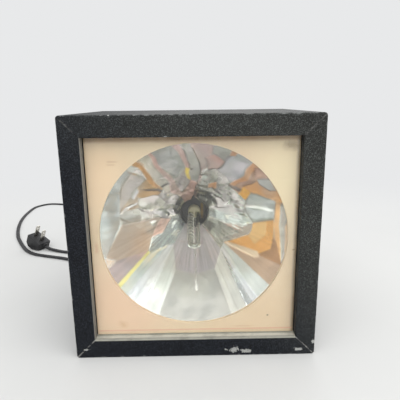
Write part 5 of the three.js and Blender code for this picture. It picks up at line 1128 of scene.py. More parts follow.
# %% Film mesh
def make_film():
    border = fan_border()
    edges = [(k, (k + 1) % len(border)) for k in range(len(border))]
    places, _, triangles, origins, _, _ = geometry.delaunay_2d_cdt(fan_points(border), edges, [], 0, 0.02)
    kept = [triangle for triangle in triangles
            if on_sheet(sum((places[k] for k in triangle), Vector((0, 0))) / 3)]
    used = sorted({k for triangle in kept for k in triangle})
    number = {k: n for n, k in enumerate(used)}
    folds = [rounded_fold(places[k]) for k in used]
    corners = [film_point(places[k], fold) for k, (fold, _) in zip(used, folds)]
    tones = [tone for _, tone in folds]
    faces = [tuple(number[k] for k in triangle) for triangle in kept]
    rim = {origin: number[k] for k in used for origin in origins[k] if origin <= RIM_STEPS}
    per_tab = RIM_STEPS // TABS
    for start in range(LAP_STEPS, RIM_STEPS - LAP_STEPS, per_tab):
        end = min(start + int(per_tab * TAB_SHARE), RIM_STEPS - LAP_STEPS)
        base = len(corners)
        for step in range(start, end + 1):
            corner = corners[rim[step]]
            out = Vector((corner.x, 0, corner.z - LAMP_HEIGHT * MM)).normalized()
            corners.append(corner + out * TAB_LENGTH * MM)
            tones.append(tones[rim[step]])
        for step in range(start, end):
            k = base + step - start
            faces.append((rim[step + 1], rim[step], k, k + 1))
    film = new_piece("reflector_film", corners, faces, FOLD_SHARP)
    # The tone attribute holds each point's painted reflection tone and painted shade, and its haze.
    layer = film.data.color_attributes.new("tone", "FLOAT_COLOR", "POINT")
    layer.data.foreach_set("color", [value for tone in tones for value in tone])
    wall = film.modifiers.new("wall", "SOLIDIFY")
    wall.thickness = FILM_THICKNESS * MM
    wall.offset = -1.0
    return film


# %% Film finish
HAZE_LEFT = (0.75, 0.95)
FILM_GLOSS = (0.06, 0.30)
FILM_GRAIN = 0.08 * MM


def film_finish():
    material, tree, surface, _ = new_material("mirrored_film")
    # The painted reflection tones and painted shade kept on the mesh.
    tone = add(tree, "ShaderNodeAttribute", attribute_name="tone").outputs
    cloud = uneven(tree, "#ffffff", "#dfe2e4", Amount=0.7, Scale=55.0, Grain_scale=500.0, Grain=0.04)
    haze = times(tree, tone["Alpha"], gloss_of(tree, cloud["Cloud"], *HAZE_LEFT))
    fine = noise_at(tree, object_place(tree), 160.0, 3.0, 0.6)
    feed(tree, surface.inputs, {
        "Base Color": mixed(tree, 1.0, tone["Color"], cloud["Colour"], blend="MULTIPLY"),
        "Metallic": minus(tree, 1.0, haze), "Roughness": gloss_of(tree, haze, *FILM_GLOSS),
        "Normal": bump(tree, fine, FILM_GRAIN)})
    return material


reflector_film = settle(make_film(), film_finish(), "mirror_film", "reflector_cone")
print("film triangles:", len(reflector_film.data.polygons))

# %% [markdown]
# ## The lamp
#
# The lamp plugs into a dark moulded socket behind the cone. It droops by six degrees, as the photograph
# shows. Its pieces are made upright in the lamp's own frame and then carried into place by one matrix: a
# ceramic foot, a glass hairpin with a real wall, and a thin wire wound along one leg, which carries the
# trigger pulse.

# %% Lamp sizes
LAMP_DROOP = math.radians(6)
FOOT_RADIUS = 6.2
FOOT_LENGTH = 8.0
FOOT_DOME = 2.4
FOOT_EDGE = 0.3
TUBE_RADIUS = 2.25
TUBE_WALL = 0.7
TUBE_SIDES = 24
LEG_SPACING = 6.4
LEG_HALF = LEG_SPACING / 2
TUBE_REACH = 86.0
LEG_SEAT = 5.0
LEG_STEPS = 24
WIRE_RADIUS = 0.3
WIRE_GAP = 0.42
WIRE_TURNS = 9
WIRE_PITCH = 6.6
WIRE_STEPS = 16
SOCKET_FLOOR_Y = 22.3
ON_AXIS = 0.001
foot_back = SOCKET_FLOOR_Y - 0.3 - FOOT_RADIUS * math.sin(LAMP_DROOP)
lamp_place = Matrix.Translation(Vector((0, foot_back, LAMP_HEIGHT)) * MM)
lamp_frame = lamp_place @ Matrix.Rotation(LAMP_DROOP, 4, "X")
print("lamp foot stands at y =", round(foot_back, 2), "mm")


# %% Lamp pieces
def make_foot():
    inner, front = FOOT_RADIUS - FOOT_DOME, -FOOT_LENGTH
    dome = arc(inner, front + FOOT_DOME, FOOT_DOME, 0, 90, 10, rise=-FOOT_DOME)
    profile = [(ON_AXIS, 0), (FOOT_RADIUS - FOOT_EDGE, 0), (FOOT_RADIUS, -FOOT_EDGE), *dome,
               (inner - 0.8, front - 0.2), (ON_AXIS, front - 0.2)]
    return turned("lamp_foot_dome", profile[::-1])


def make_tube():
    """A hairpin with an outer and an inner wall, joined by a ring at each end."""
    bend = -TUBE_REACH + LEG_HALF + TUBE_RADIUS
    start = -FOOT_LENGTH + LEG_SEAT
    leg = [start + (bend - start) * k / LEG_STEPS for k in range(LEG_STEPS + 1)]
    places = [(-LEG_HALF, y) for y in leg]
    places += arc(0, bend, -LEG_HALF, 0, 180, LEG_STEPS)[1:-1]
    places += [(LEG_HALF, y) for y in reversed(leg)]
    line = [Vector((x, y, 0)) * MM for x, y in places]
    corners = []
    for radius in (TUBE_RADIUS * MM, (TUBE_RADIUS - TUBE_WALL) * MM):
        for point, ahead in zip(line, directions(line)):
            side = ahead.cross(ABOVE)
            corners.extend(point + side * a + ABOVE * b for a, b in round_section(radius, TUBE_SIDES))
    base = len(line) * TUBE_SIDES
    wall = grid_faces(len(line), TUBE_SIDES)
    faces = [face[::-1] for face in wall] + [tuple(base + k for k in face) for face in wall]
    for low, turn in ((0, 1), (base - TUBE_SIDES, -1)):
        for k in range(low, low + TUBE_SIDES):
            after = low + (k + 1 - low) % TUBE_SIDES
            faces.append((k, after, base + after, base + k)[::turn])
    return new_piece("flash_tube_glass", corners, faces)


def make_trigger_winding():
    pin_z = 1.65 - FOOT_RADIUS
    wind_radius = TUBE_RADIUS + WIRE_RADIUS + WIRE_GAP
    front = -FOOT_LENGTH
    wind_start = front - 6
    points = [(0, y, pin_z) for y in (10, 0, front, front - 0.9)]
    points.append((-1.6, (front + wind_start) / 2, -wind_radius - WIRE_RADIUS))
    for k in range(WIRE_TURNS * WIRE_STEPS + 1):
        angle = 2 * math.pi * k / WIRE_STEPS
        points.append((-LEG_HALF - wind_radius * math.sin(angle), wind_start - WIRE_PITCH * k / WIRE_STEPS,
                       -wind_radius * math.cos(angle)))
    line = smooth_line([Vector(point) * MM for point in points], 1.2 * MM)
    return swept("trigger_winding", line, round_section(WIRE_RADIUS * MM, 8),
                 carried_sides(line, Vector((1, 0, 0))))


for made, material, slot_name, node in (
        (make_foot(), finish["lamp_ceramic"], "ceramic", "lamp_foot"),
        (make_tube(), clear_finish("flash_glass", "#f6fbf2", 1.47), "clear_glass", "flash_tube"),
        (make_trigger_winding(), finish["trigger_nickel"], "nickel", "trigger_wire")):
    made.data.transform(lamp_frame)
    settle(made, material, slot_name, node)
    print(made.name, "faces:", len(made.data.polygons))

# %% [markdown]
# ## Small helpers for the pieces at the back
#
# `baked` turns live modifiers into plain mesh, `cut_away` takes one shape out of another, and `eased` rounds
# the edges a little, as moulding does. `smooth_copy` makes a bent round wire from its faceted solid: the
# corners are merged, pairs of triangles become quads, and subdivision rounds them. The last three set up the
# geometry nodes, whose copies are made real and get their finish at the end of the tree.


# %% Piece helpers
def shown_mesh(piece):
    """The mesh that a piece shows with its modifiers."""
    bpy.context.view_layer.update()
    return bpy.data.meshes.new_from_object(piece.evaluated_get(bpy.context.evaluated_depsgraph_get()))


def baked(piece, sharp_angle=math.radians(40)):
    mesh = shown_mesh(piece)
    piece.modifiers.clear()
    piece.data = mesh
    mesh.shade_smooth()
    mesh.set_sharp_from_angle(angle=sharp_angle)
    return piece


def modified(piece, kind, **settings):
    modifier = piece.modifiers.new(kind.lower(), kind)
    for key, value in settings.items():
        setattr(modifier, key, value)
    return modifier


def block(name, low, high):
    corners = [(x, y, z) for x in (low[0], high[0]) for y in (low[1], high[1]) for z in (low[2], high[2])]
    faces = [(0, 1, 3, 2), (4, 6, 7, 5), (0, 4, 5, 1), (2, 3, 7, 6), (0, 2, 6, 4), (1, 5, 7, 3)]
    return new_piece(name, [Vector(corner) * MM for corner in corners], faces)


def cut_away(piece, cutter):
    modified(piece, "BOOLEAN", operation="DIFFERENCE", solver="EXACT", object=cutter)
    baked(piece)
    bpy.data.objects.remove(cutter)
    return piece


def eased(piece, width, segments):
    modified(piece, "BEVEL", width=width * MM, segments=segments, limit_method="ANGLE",
             angle_limit=math.radians(28))
    return baked(piece, math.radians(50))


def from_grid(name, grid):
    """A piece from a bmesh, with its faces turned outward."""
    bmesh.ops.recalc_face_normals(grid, faces=grid.faces)
    mesh = bpy.data.meshes.new(name)
    grid.to_mesh(mesh)
    grid.free()
    return placed(name, mesh)


def clean_copy(node, name, quads):
    """A copy of a solid's mesh with its corners merged and its flat faces made whole."""
    grid = bmesh.new()
    grid.from_mesh(bpy.data.objects[node].data)
    bmesh.ops.remove_doubles(grid, verts=grid.verts, dist=0.002 * MM)
    if quads:
        bmesh.ops.join_triangles(grid, faces=grid.faces, angle_face_threshold=math.radians(40),
                                 angle_shape_threshold=math.radians(60))
    else:
        bmesh.ops.dissolve_limit(grid, angle_limit=math.radians(0.5), verts=grid.verts, edges=grid.edges)
    return from_grid(name, grid)


def smooth_copy(node, name):
    piece = clean_copy(node, name, quads=True)
    modified(piece, "SUBSURF", levels=2, render_levels=2)
    return baked(piece, math.radians(60))


def stood_up(piece, place):
    """Turns a piece made along +Y to stand along +Z at place."""
    piece.data.transform(Matrix.Translation(place) @ Matrix.Rotation(math.radians(90), 4, "X"))
    return piece


# %% Geometry node helpers
def upright_solid(node):
    """The middle of a round solid's foot in metres, and its radius and height in millimetres."""
    low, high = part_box(node)
    return Vector((*(low + high).xy / 2, low.z)), (high.x - low.x) / 2 / MM, (high.z - low.z) / MM


def geometry_tree(name, **inputs):
    """A geometry tree with named inputs, and a last one for the finish."""
    tree = bpy.data.node_groups.new(name, "GeometryNodeTree")
    for label, kind in {"Geometry": "Geometry", **inputs, "Finish": "Material"}.items():
        tree.interface.new_socket(label, in_out="INPUT", socket_type="NodeSocket" + kind)
    tree.interface.new_socket("Geometry", in_out="OUTPUT", socket_type="NodeSocketGeometry")
    return tree, tree.nodes.new("NodeGroupInput").outputs


def grown(tree, ask, made):
    """The end of a geometry tree: copies made real, then the finish on them."""
    real = add(tree, "GeometryNodeRealizeInstances", {0: made})
    done = add(tree, "GeometryNodeSetMaterial", {"Geometry": real.outputs[0], "Material": ask["Finish"]})
    tree.links.new(done.outputs[0], tree.nodes.new("NodeGroupOutput").inputs[0])
    return tree


def grow(piece, tree, **inputs):
    """Runs a geometry tree on a piece with named inputs set, and keeps the result as plain mesh."""
    growth = modified(piece, "NODES", node_group=tree)
    for item in tree.interface.items_tree:
        if item.in_out == "INPUT" and item.name in inputs:
            growth[item.identifier] = inputs[item.name]
    return baked(piece)


# %% [markdown]
# ## The back panel
#
# Behind, a black steel panel carries the speed control, the power switch and the cord's strain relief. Round
# the knob the panel is printed with a ring of ticks and the numbers from 0 to 10, and by the switch with ON
# and OFF. The ticks are one bar, copied round the dial by geometry nodes, so that their number and sweep can
# be changed. The numbers run clockwise as seen from behind, where the box's right is on the left.

# %% Printed dial
PANEL_BACK_Y = 56.2
PRINT_HEIGHT, PRINT_GAP = 0.12, 0.02
CONTROL_SPREAD = 40.0
CONTROL_HEIGHT = 145.0
DIAL_SWEEP = math.radians(300)
DIAL_MARKS = 11
TICK_START, TICK_END, TICK_HALF = 14.6, 17.2, 0.3
NUMBER_RADIUS = 20.4
NUMBER_SIZE = 4.0
WORD_OFFSET = 14


def dial_tree():
    """Copies the geometry round the Y axis through Centre, Count times over Sweep."""
    tree, ask = geometry_tree("Round a dial", Count="Int", Sweep="Float", Centre="Vector")
    line = add(tree, "GeometryNodeMeshLine", {
        "Count": ask["Count"], "Start Location": ask["Centre"], "Offset": (0, 0, 0)})
    number = add(tree, "GeometryNodeInputIndex").outputs[0]
    share = calculate(tree, "DIVIDE", number, minus(tree, ask["Count"], 1.0))
    turn = times(tree, minus(tree, share, 0.5), ask["Sweep"])
    copies = add(tree, "GeometryNodeInstanceOnPoints", {
        "Points": line.outputs[0], "Instance": ask["Geometry"],
        "Rotation": add(tree, "ShaderNodeCombineXYZ", {"Y": turn}).outputs[0]})
    return grown(tree, ask, copies.outputs[0])


def lettering(name, words, x, z):
    """Flat letters on the panel, read from behind, centred at x and z in millimetres."""
    curve = bpy.data.curves.new(name, "FONT")
    curve.body = words
    curve.size = NUMBER_SIZE * MM
    curve.align_x = curve.align_y = "CENTER"
    curve.extrude = PRINT_HEIGHT / 2 * MM
    letters = placed(name, curve)
    mesh = shown_mesh(letters)
    bpy.data.objects.remove(letters)
    facing = Matrix(((-1, 0, 0), (0, 0, 1), (0, 1, 0))).to_4x4()
    place = Vector((x, PANEL_BACK_Y + PRINT_HEIGHT / 2 + PRINT_GAP, z)) * MM
    mesh.transform(Matrix.Translation(place) @ facing)
    return mesh


def joined(name, meshes):
    """Several meshes as one piece."""
    grid = bmesh.new()
    for mesh in meshes:
        grid.from_mesh(mesh)
    bmesh.ops.remove_doubles(grid, verts=grid.verts, dist=0.001 * MM)
    return from_grid(name, grid)


tick = block("dial_ticks", (-TICK_HALF, PRINT_GAP, TICK_START),
             (TICK_HALF, PRINT_GAP + PRINT_HEIGHT, TICK_END))
dial_ticks = grow(
    tick, dial_tree(), Count=DIAL_MARKS, Sweep=DIAL_SWEEP, Finish=finish["white_print"],
    Centre=Vector((CONTROL_SPREAD, PANEL_BACK_Y, CONTROL_HEIGHT)) * MM)
words = []
for mark in range(DIAL_MARKS):
    angle = DIAL_SWEEP * (mark / (DIAL_MARKS - 1) - 0.5)
    words.append(lettering(f"number_{mark}", str(mark), CONTROL_SPREAD - NUMBER_RADIUS * math.sin(angle),
                           CONTROL_HEIGHT + NUMBER_RADIUS * math.cos(angle)))
words.append(lettering("on_word", "ON", -CONTROL_SPREAD, CONTROL_HEIGHT + WORD_OFFSET))
words.append(lettering("off_word", "OFF", -CONTROL_SPREAD, CONTROL_HEIGHT - WORD_OFFSET))
panel_words = joined("panel_words", words)
for printed in (dial_ticks, panel_words):
    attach(printed, "cabinet")
panel_words.data.materials.append(finish["white_print"])
print("tick and letter faces:", len(dial_ticks.data.polygons), len(panel_words.data.polygons))

# %% [markdown]
# ## Screws
#
# Four slotted pan-head screws hold the back panel to the corner blocks. One screw is turned and slotted, and
# geometry nodes stand it on the four points of a grid, each turned by chance, since nobody lines up slots.

# %% Screws
SCREW_SPREAD = 155.12 * MM
SCREW_MIDDLE = Vector((0, PANEL_BACK_Y + 0.3, 101.6)) * MM
SCREW_SEED = 4
THREAD_PITCH = 1.1
STRAP_SIDE = 82.1


def make_screw(name, head_radius, head_height, shank_radius, length):
    """A slotted pan-head screw along +Y, with the underside of its head at the origin."""
    profile = [(0.05, -length), (shank_radius * 0.55, -length + 1.2), (shank_radius, -length + 2.6)]
    for k in range(int((length - 3) / THREAD_PITCH)):
        start = -length + 2.8 + THREAD_PITCH * k
        profile += [(shank_radius, start), (shank_radius * 0.74, start + 0.5), (shank_radius, start + 1.0)]
    profile += [(shank_radius, -0.2), (shank_radius, 0), (head_radius, 0), (head_radius, head_height * 0.35)]
    dome = arc(head_radius * 0.45, head_height * 0.35, head_radius * 0.55, 0, 90, 8, head_height * 0.65)
    profile += dome[1:-1]
    profile.append((0.05, head_height))
    slot_half = head_radius * 0.12
    slot = block("slot", (-head_radius * 1.2, head_height * 0.5, -slot_half),
                 (head_radius * 1.2, head_height * 1.5, slot_half))
    return cut_away(turned(name, profile, segments=32), slot)


def grid_tree():
    """Stands the geometry on the four corners of an upright rectangle, each turned by chance."""
    tree, ask = geometry_tree("On four corners", Width="Float", Height="Float", Middle="Vector", Seed="Int")
    grid = add(tree, "GeometryNodeMeshGrid", {
        "Size X": ask["Width"], "Size Y": ask["Height"], "Vertices X": 2, "Vertices Y": 2})
    upright = add(tree, "GeometryNodeTransform", {
        "Geometry": grid.outputs[0], "Translation": ask["Middle"], "Rotation": (math.radians(90), 0, 0)})
    chance = add(tree, "FunctionNodeRandomValue", {
        "Min": (0, -math.pi, 0), "Max": (0, math.pi, 0), "Seed": ask["Seed"]}, data_type="FLOAT_VECTOR")
    copies = add(tree, "GeometryNodeInstanceOnPoints", {
        "Points": upright.outputs[0], "Instance": ask["Geometry"], "Rotation": chance.outputs[0]})
    return grown(tree, ask, copies.outputs[0])


rear_screws = grow(
    make_screw("rear_screws", 3.8, 2.4, 1.9, 10.7), grid_tree(), Width=SCREW_SPREAD, Height=SCREW_SPREAD,
    Middle=SCREW_MIDDLE, Seed=SCREW_SEED, Finish=finish["zinc_plate"])
settle(rear_screws, None, "zinc_steel", "rear_screw_top_left", "rear_screw_top_right",
       "rear_screw_bottom_left", "rear_screw_bottom_right")
for side, node in ((-1, "strap_screw_left"), (1, "strap_screw_right")):
    low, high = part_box(node)
    screw = make_screw(node + "_slotted", 2.9, 1.7, 1.5, 10.8)
    seat = Vector((side * STRAP_SIDE * MM, (low.y + high.y) / 2, (low.z + high.z) / 2))
    screw.data.transform(Matrix.Translation(seat) @ Matrix.Rotation(math.radians(90) * side, 4, "Z"))
    settle(screw, finish["zinc_plate"], "zinc_steel", node)
print("faces of the four panel screws:", len(rear_screws.data.polygons))

# %% [markdown]
# ## Knob and lever
#
# The knob is a moulded cap with a skirt, twelve shallow flutes for the fingers and a groove that points to
# the numbers. The lever is turned from one rod: a ball that rocks in the bush, a thin neck and a bat-shaped
# grip. Both ride on moving bodies, so that they turn with the joints.

# %% Knob and lever
KNOB_RADIUS, KNOB_TOP, KNOB_HEIGHT, KNOB_SKIRT = 13.0, 10.5, 14.0, 2.8
KNOB_FLUTES = 12
FLUTE_DEPTH = 0.9
GROOVE_HALF, GROOVE_FROM = 0.6, 3.0
GROOVE_PAINT = (0.59, 68.0, 70.5, 3.05, 13)
LEVER_PIVOT = Vector((-CONTROL_SPREAD, 60.2, CONTROL_HEIGHT)) * MM
LEVER_TILT = math.radians(-12)


def make_knob():
    low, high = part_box("speed_knob")
    place = Vector(((low.x + high.x) / 2, low.y, (low.z + high.z) / 2))
    profile = [(0.1, 5.0), (7.4, 5.0), (7.4, 0.0), (KNOB_RADIUS - 0.3, 0.0), (KNOB_RADIUS, 0.3),
               (KNOB_RADIUS, KNOB_SKIRT - 0.4), (KNOB_RADIUS - 0.4, KNOB_SKIRT),
               (KNOB_TOP + 0.8, KNOB_SKIRT + 0.6)]
    profile += [(KNOB_TOP + 0.3 - 0.03 * k, KNOB_SKIRT + 1.2 + 0.9 * k) for k in range(10)]
    profile += [(KNOB_TOP - 0.05, KNOB_HEIGHT - 0.7), (KNOB_TOP - 0.3, KNOB_HEIGHT - 0.25),
                (KNOB_TOP - 0.8, KNOB_HEIGHT), (8.5, KNOB_HEIGHT), (8.2, KNOB_HEIGHT - 0.3),
                (4.0, KNOB_HEIGHT - 0.3), (0.1, KNOB_HEIGHT - 0.3)]

    def flute(radius, along, angle):
        deep = smoothstep(along, KNOB_SKIRT + 0.9, KNOB_SKIRT + 2.6) * smoothstep(radius, 8.8, 9.9)
        return radius - FLUTE_DEPTH * deep * max(0.0, math.cos(KNOB_FLUTES * angle)) ** 1.5

    knob = turned("speed_knob_cap", profile, place, KNOB_FLUTES * 16, flute)
    groove = block("groove", (-GROOVE_HALF, KNOB_HEIGHT - 0.9, GROOVE_FROM),
                   (GROOVE_HALF, KNOB_HEIGHT + 1, KNOB_RADIUS))
    groove.data.transform(Matrix.Translation(place))
    return cut_away(knob, groove)


def knob_finish():
    """Black moulding with the floor of the groove filled in white."""
    material, tree, surface, _ = new_material("moulded_knob")
    tone = uneven(tree, "#18181a", "#232326", Scale=90.0, Grain=0.2)
    half, front, back, low, high = GROOVE_PAINT
    fill = within(tree, object_place(tree), (CONTROL_SPREAD - half, front, CONTROL_HEIGHT + low),
                  (CONTROL_SPREAD + half, back, CONTROL_HEIGHT + high), 0.05 * MM)
    feed(tree, surface.inputs, {
        "Base Color": mixed(tree, fill, tone["Colour"], paint("#dcdcd6")),
        "Roughness": gloss_of(tree, tone["Cloud"], 0.3, 0.48),
        "Normal": bump(tree, tone["Height"], 0.02 * MM)})
    return material


def make_lever():
    profile = [(0.05, -4.0), (1.2, -4.0), (1.36, -3.8), *arc(0, 0, 3.0, -62, 50, 14)]
    profile += [(1.7, 2.6), (1.75, 4.0), (1.95, 6.0), (2.3, 8.4), (2.65, 10.2), *arc(0, 11.2, 2.8, 0, 80, 8)]
    lever = turned("switch_bat", [*profile, (0.05, 14.0)], segments=40)
    lever.data.transform(Matrix.Translation(LEVER_PIVOT) @ Matrix.Rotation(LEVER_TILT, 4, "X"))
    return lever


knob = settle(make_knob(), knob_finish(), "black_plastic", "speed_knob", body="speed_knob")
lever = settle(make_lever(), finish["nickel_plate"], "nickel", "switch_lever", body="power_lever")
print("knob and lever faces:", len(knob.data.polygons), len(lever.data.polygons))

# %% [markdown]
# ## Bush, strain relief, plug and lamp socket
#
# The switch's bush is threaded outside. The strain relief is a soft ribbed boot that keeps the cord from
# kinking. The plug is one moulded lump, so all its edges are rounded, and the tie is a strip of paper over
# wire. The lamp socket is a thick cup of dark phenolic, whose mouth shows round the foot of the lamp in the
# hole of the cone.

# %% Bush, strain relief, plug and socket
BUSH_START, BUSH_END, BUSH_PITCH = 54.2, 64.2, 0.8
BOOT_RIBS, BOOT_START, BOOT_END = 5, 59.5, 80.2
PLUG_ROUNDING = 0.9


def make_bush():
    profile = [(3.5, BUSH_START), (5.9, BUSH_START)]
    for k in range(int((BUSH_END - BUSH_START - 0.8) / BUSH_PITCH)):
        start = BUSH_START + BUSH_PITCH * k
        profile += [(5.9, start + 0.3), (5.45, start + 0.7)]
    profile += [(5.9, BUSH_END - 0.5), (5.6, BUSH_END), (4.6, BUSH_END), (3.5, BUSH_END - 2.6)]
    place = Vector((-CONTROL_SPREAD, 0, CONTROL_HEIGHT)) * MM
    return turned("threaded_bush", profile, place, 48, ring=True)


def make_strain_relief():
    profile = [(0.1, 49.2), (5.7, 49.2), (6.0, 49.5), (6.0, 56.5), (7.7, 56.5), (8.0, 56.8), (8.0, 59.1),
               (7.6, 59.5)]
    pitch = (BOOT_END - BOOT_START) / (BOOT_RIBS + 0.5)
    for k in range(BOOT_RIBS):
        radius = 6.0 - 1.8 * k / (BOOT_RIBS - 1)
        start = BOOT_START + pitch * k
        profile += [(radius - less, start + share * pitch) for less, share in (
            (0.6, 0.1), (0.6, 0.36), (0.2, 0.42), (0.0, 0.54), (0.0, 0.92), (0.2, 1.0))]
    profile += [(3.6, BOOT_END - 0.2), (3.2, BOOT_END), (0.1, BOOT_END)]
    return turned("ribbed_boot", profile, Vector((-45, 0, 40)) * MM, 48)


def make_socket():
    profile = [(0.1, 22.3), (12.2, 22.3), (12.5, 22.0), (12.5, 13.0), (13.2, 12.3), (17.5, 12.3),
               (18.0, 12.8), (18.0, 14.4), (17.6, 14.8), (16.3, 14.8), (16.0, 15.2), (16.0, 23.5),
               (16.3, 23.8), (21.6, 23.8), (22.0, 24.2), (22.0, 25.9), (21.6, 26.3), (0.1, 26.3)]
    return turned("socket_cup", profile, Vector((0, 0, LAMP_HEIGHT)) * MM, 72)


settle(make_bush(), finish["nickel_plate"], "nickel", "switch_bush")
settle(make_strain_relief(), finish["rubber"], "black_rubber", "strain_relief")
settle(eased(clean_copy("plug_body", "plug_shell", quads=False), PLUG_ROUNDING, 3), finish["rubber"],
       "black_rubber", "plug_body")
settle(smooth_copy("cord_tie", "twisted_tie"), finish["paper_tie"], "paper_tie", "cord_tie")
settle(make_socket(), finish["dark_phenolic"], "dark_phenolic", "lamp_socket")
print("threads on the bush:", int((BUSH_END - BUSH_START - 0.8) / BUSH_PITCH), "ribs on the boot:", BOOT_RIBS)

# %% [markdown]
# ## Parts on the circuit board
#
# Two storage capacitors hold the charge: drawn cans in a blue sleeve, with a dished top and a rolled crimp.
# The trigger coil is a bobbin with a winding, and the winding is a helix drawn by geometry nodes. The fuse is
# a glass tube between two caps, with its wire inside.

# %% Storage capacitors
SLEEVE_EDGE = 9.2
CRIMP_BELOW, CRIMP_DEPTH, CRIMP_WIDTH, CRIMP_STEPS = 4.3, 0.8, 2.0, 8


def make_can(node):
    place, radius, height = upright_solid(node)
    crimp = height - CRIMP_BELOW - CRIMP_WIDTH / 2
    profile = [(0.1, 0), (radius - 0.5, 0), (radius - 0.1, 0.4), (radius, 1.0)]
    profile += [(radius - CRIMP_DEPTH * math.sin(math.pi * share), crimp + CRIMP_WIDTH * share)
                for share in (k / CRIMP_STEPS for k in range(CRIMP_STEPS + 1))]
    profile += arc(radius - 1.0, height - 1.0, 1.0, 0, 90, 6)
    profile += [(SLEEVE_EDGE, height - 0.02), (SLEEVE_EDGE - 0.3, height - 0.4), (4.0, height - 0.4),
                (0.1, height - 0.4)]
    can = stood_up(turned(node + "_can", profile, segments=56), place)
    can.data.materials.append(finish["blue_sleeve"])
    can.data.materials.append(finish["drawn_aluminium"])
    for face in can.data.polygons:
        away = face.center - place
        if away.z > (height - 0.5) * MM and math.hypot(away.x, away.y) < SLEEVE_EDGE * MM:
            face.material_index = 1
    return can


for node in ("storage_capacitor_left", "storage_capacitor_right"):
    can = settle(make_can(node), None, "blue_sleeve", node)
    print(can.name, "faces:", len(can.data.polygons))

# %% Trigger coil
BOBBIN_FLANGE = 1.5
BOBBIN_CORE = 5.4
COIL_WIRE = 0.22


def winding_tree():
    """One wire wound as a helix."""
    tree, ask = geometry_tree(
        "Winding", Turns="Float", Radius="Float", Height="Float", Wire="Float", Place="Vector")
    helix = add(tree, "GeometryNodeCurveSpiral", {
        "Resolution": 24, "Rotations": ask["Turns"], "Start Radius": ask["Radius"],
        "End Radius": ask["Radius"], "Height": ask["Height"]})
    wire = add(tree, "GeometryNodeCurvePrimitiveCircle", {"Resolution": 7, "Radius": ask["Wire"]})
    body = add(tree, "GeometryNodeCurveToMesh", {
        "Curve": helix.outputs[0], "Profile Curve": wire.outputs[0], "Fill Caps": True})
    there = add(tree, "GeometryNodeTransform", {"Geometry": body.outputs[0], "Translation": ask["Place"]})
    return grown(tree, ask, there.outputs[0])


def make_trigger_coil():
    place, radius, height = upright_solid("trigger_coil")
    flange = BOBBIN_FLANGE
    profile = [(0.1, 0), (radius - 0.2, 0), (radius, 0.2), (radius, flange - 0.2), (radius - 0.2, flange),
               (BOBBIN_CORE, flange), (BOBBIN_CORE, height - flange), (radius - 0.2, height - flange),
               (radius, height - flange + 0.2), (radius, height - 0.2), (radius - 0.2, height), (2.0, height),
               (2.0, height - 3), (0.1, height - 3)]
    bobbin = stood_up(turned("coil_bobbin", profile, segments=40), place)
    turns = int((height - 2 * flange) / (2 * COIL_WIRE)) - 1
    wound = turns * 2 * COIL_WIRE
    winding = grow(
        new_piece("coil_winding", [], []), winding_tree(), Turns=float(turns), Height=wound * MM,
        Radius=(BOBBIN_CORE + 0.25) * MM, Wire=COIL_WIRE * MM, Finish=finish["lacquered_copper"],
        Place=place + Vector((0, 0, height - wound)) / 2 * MM)
    return bobbin, winding


coil_bobbin, coil_winding = make_trigger_coil()
settle(coil_bobbin, finish["bobbin_brown"], "copper_winding", "trigger_coil")
settle(coil_winding, None, "copper_winding", "trigger_coil")
print("winding faces:", len(coil_winding.data.polygons))

# %% Fuse
FUSE_CAP = 6.0


def make_fuse():
    """The glass tube, then the wire and the two caps."""
    low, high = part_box("fuse")
    radius, half = (high.z - low.z) / 2 / MM, (high.x - low.x) / 2 / MM
    glass_end, wire_end = half - FUSE_CAP + 1, half - FUSE_CAP
    glass = turned("fuse_tube", [(radius - 0.4, -glass_end), (radius - 0.4, glass_end),
                                 (radius - 1.1, glass_end), (radius - 1.1, -glass_end)], segments=32)
    metal = [turned("fuse_wire", [(0.12, -wire_end), (0.12, wire_end)], segments=8)]
    for k, (end, side) in enumerate(((-half, 1), (half, -1))):
        cap = [(0.1, end), (radius - 0.3, end), (radius, end + side * 0.4), (radius, end + side * FUSE_CAP),
               (radius - 0.3, end + side * FUSE_CAP), (0.1, end + side * FUSE_CAP)]
        metal.append(turned(f"fuse_cap_{k}", cap[::side], segments=32))
    for made in (glass, *metal):
        made.data.transform(Matrix.Translation((low + high) / 2) @ Matrix.Rotation(math.radians(-90), 4, "Z"))
    return glass, metal


fuse_tube, fuse_metal = make_fuse()
settle(fuse_tube, clear_finish("fuse_glass", "#f2f7f2", 1.47), "clear_glass", "fuse")
for made in fuse_metal:
    settle(made, finish["nickel_plate"], "clear_glass", "fuse")
print("pieces of the fuse:", 1 + len(fuse_metal))

# %% [markdown]
# ## Hook-up wires, and the solids that stay
#
# The wires between the lamp, the controls and the circuit board are stranded wire in coloured plastic. Their
# routes come from the solids, and only their roundness is added here. The other solids are as exact as they
# need to be, so each keeps its own mesh and only gets a finish. The circuit board is one solid with its
# spacers below and its pins above, so its finish changes with height.

# %% Circuit board finish
SHEET_LOW, SHEET_HIGH = (25.4 * MM, 25.6 * MM), (27.4 * MM, 27.2 * MM)


def board_and_pins():
    material, tree, surface, _ = new_material("laminate_and_pins")
    z = split(tree, object_place(tree))["Z"]
    sheet = times(tree, ranged(tree, z, *SHEET_LOW), ranged(tree, z, *SHEET_HIGH))
    tone = uneven(tree, "#8c6a3a", "#76562b", Scale=60.0, Grain=0.4)
    metal = uneven(tree, "#c2bfb5", "#97938a", Scale=200.0, Grain=0.1)
    feed(tree, surface.inputs, {
        "Base Color": mixed(tree, sheet, metal["Colour"], tone["Colour"]),
        "Metallic": minus(tree, 1.0, sheet), "Roughness": gloss_of(tree, tone["Cloud"], 0.38, 0.52)})
    return material


finish_node(board_and_pins(), "circuit_board")
print("sheet of the board, m from the ground:", SHEET_LOW[1], "to", SHEET_HIGH[1])

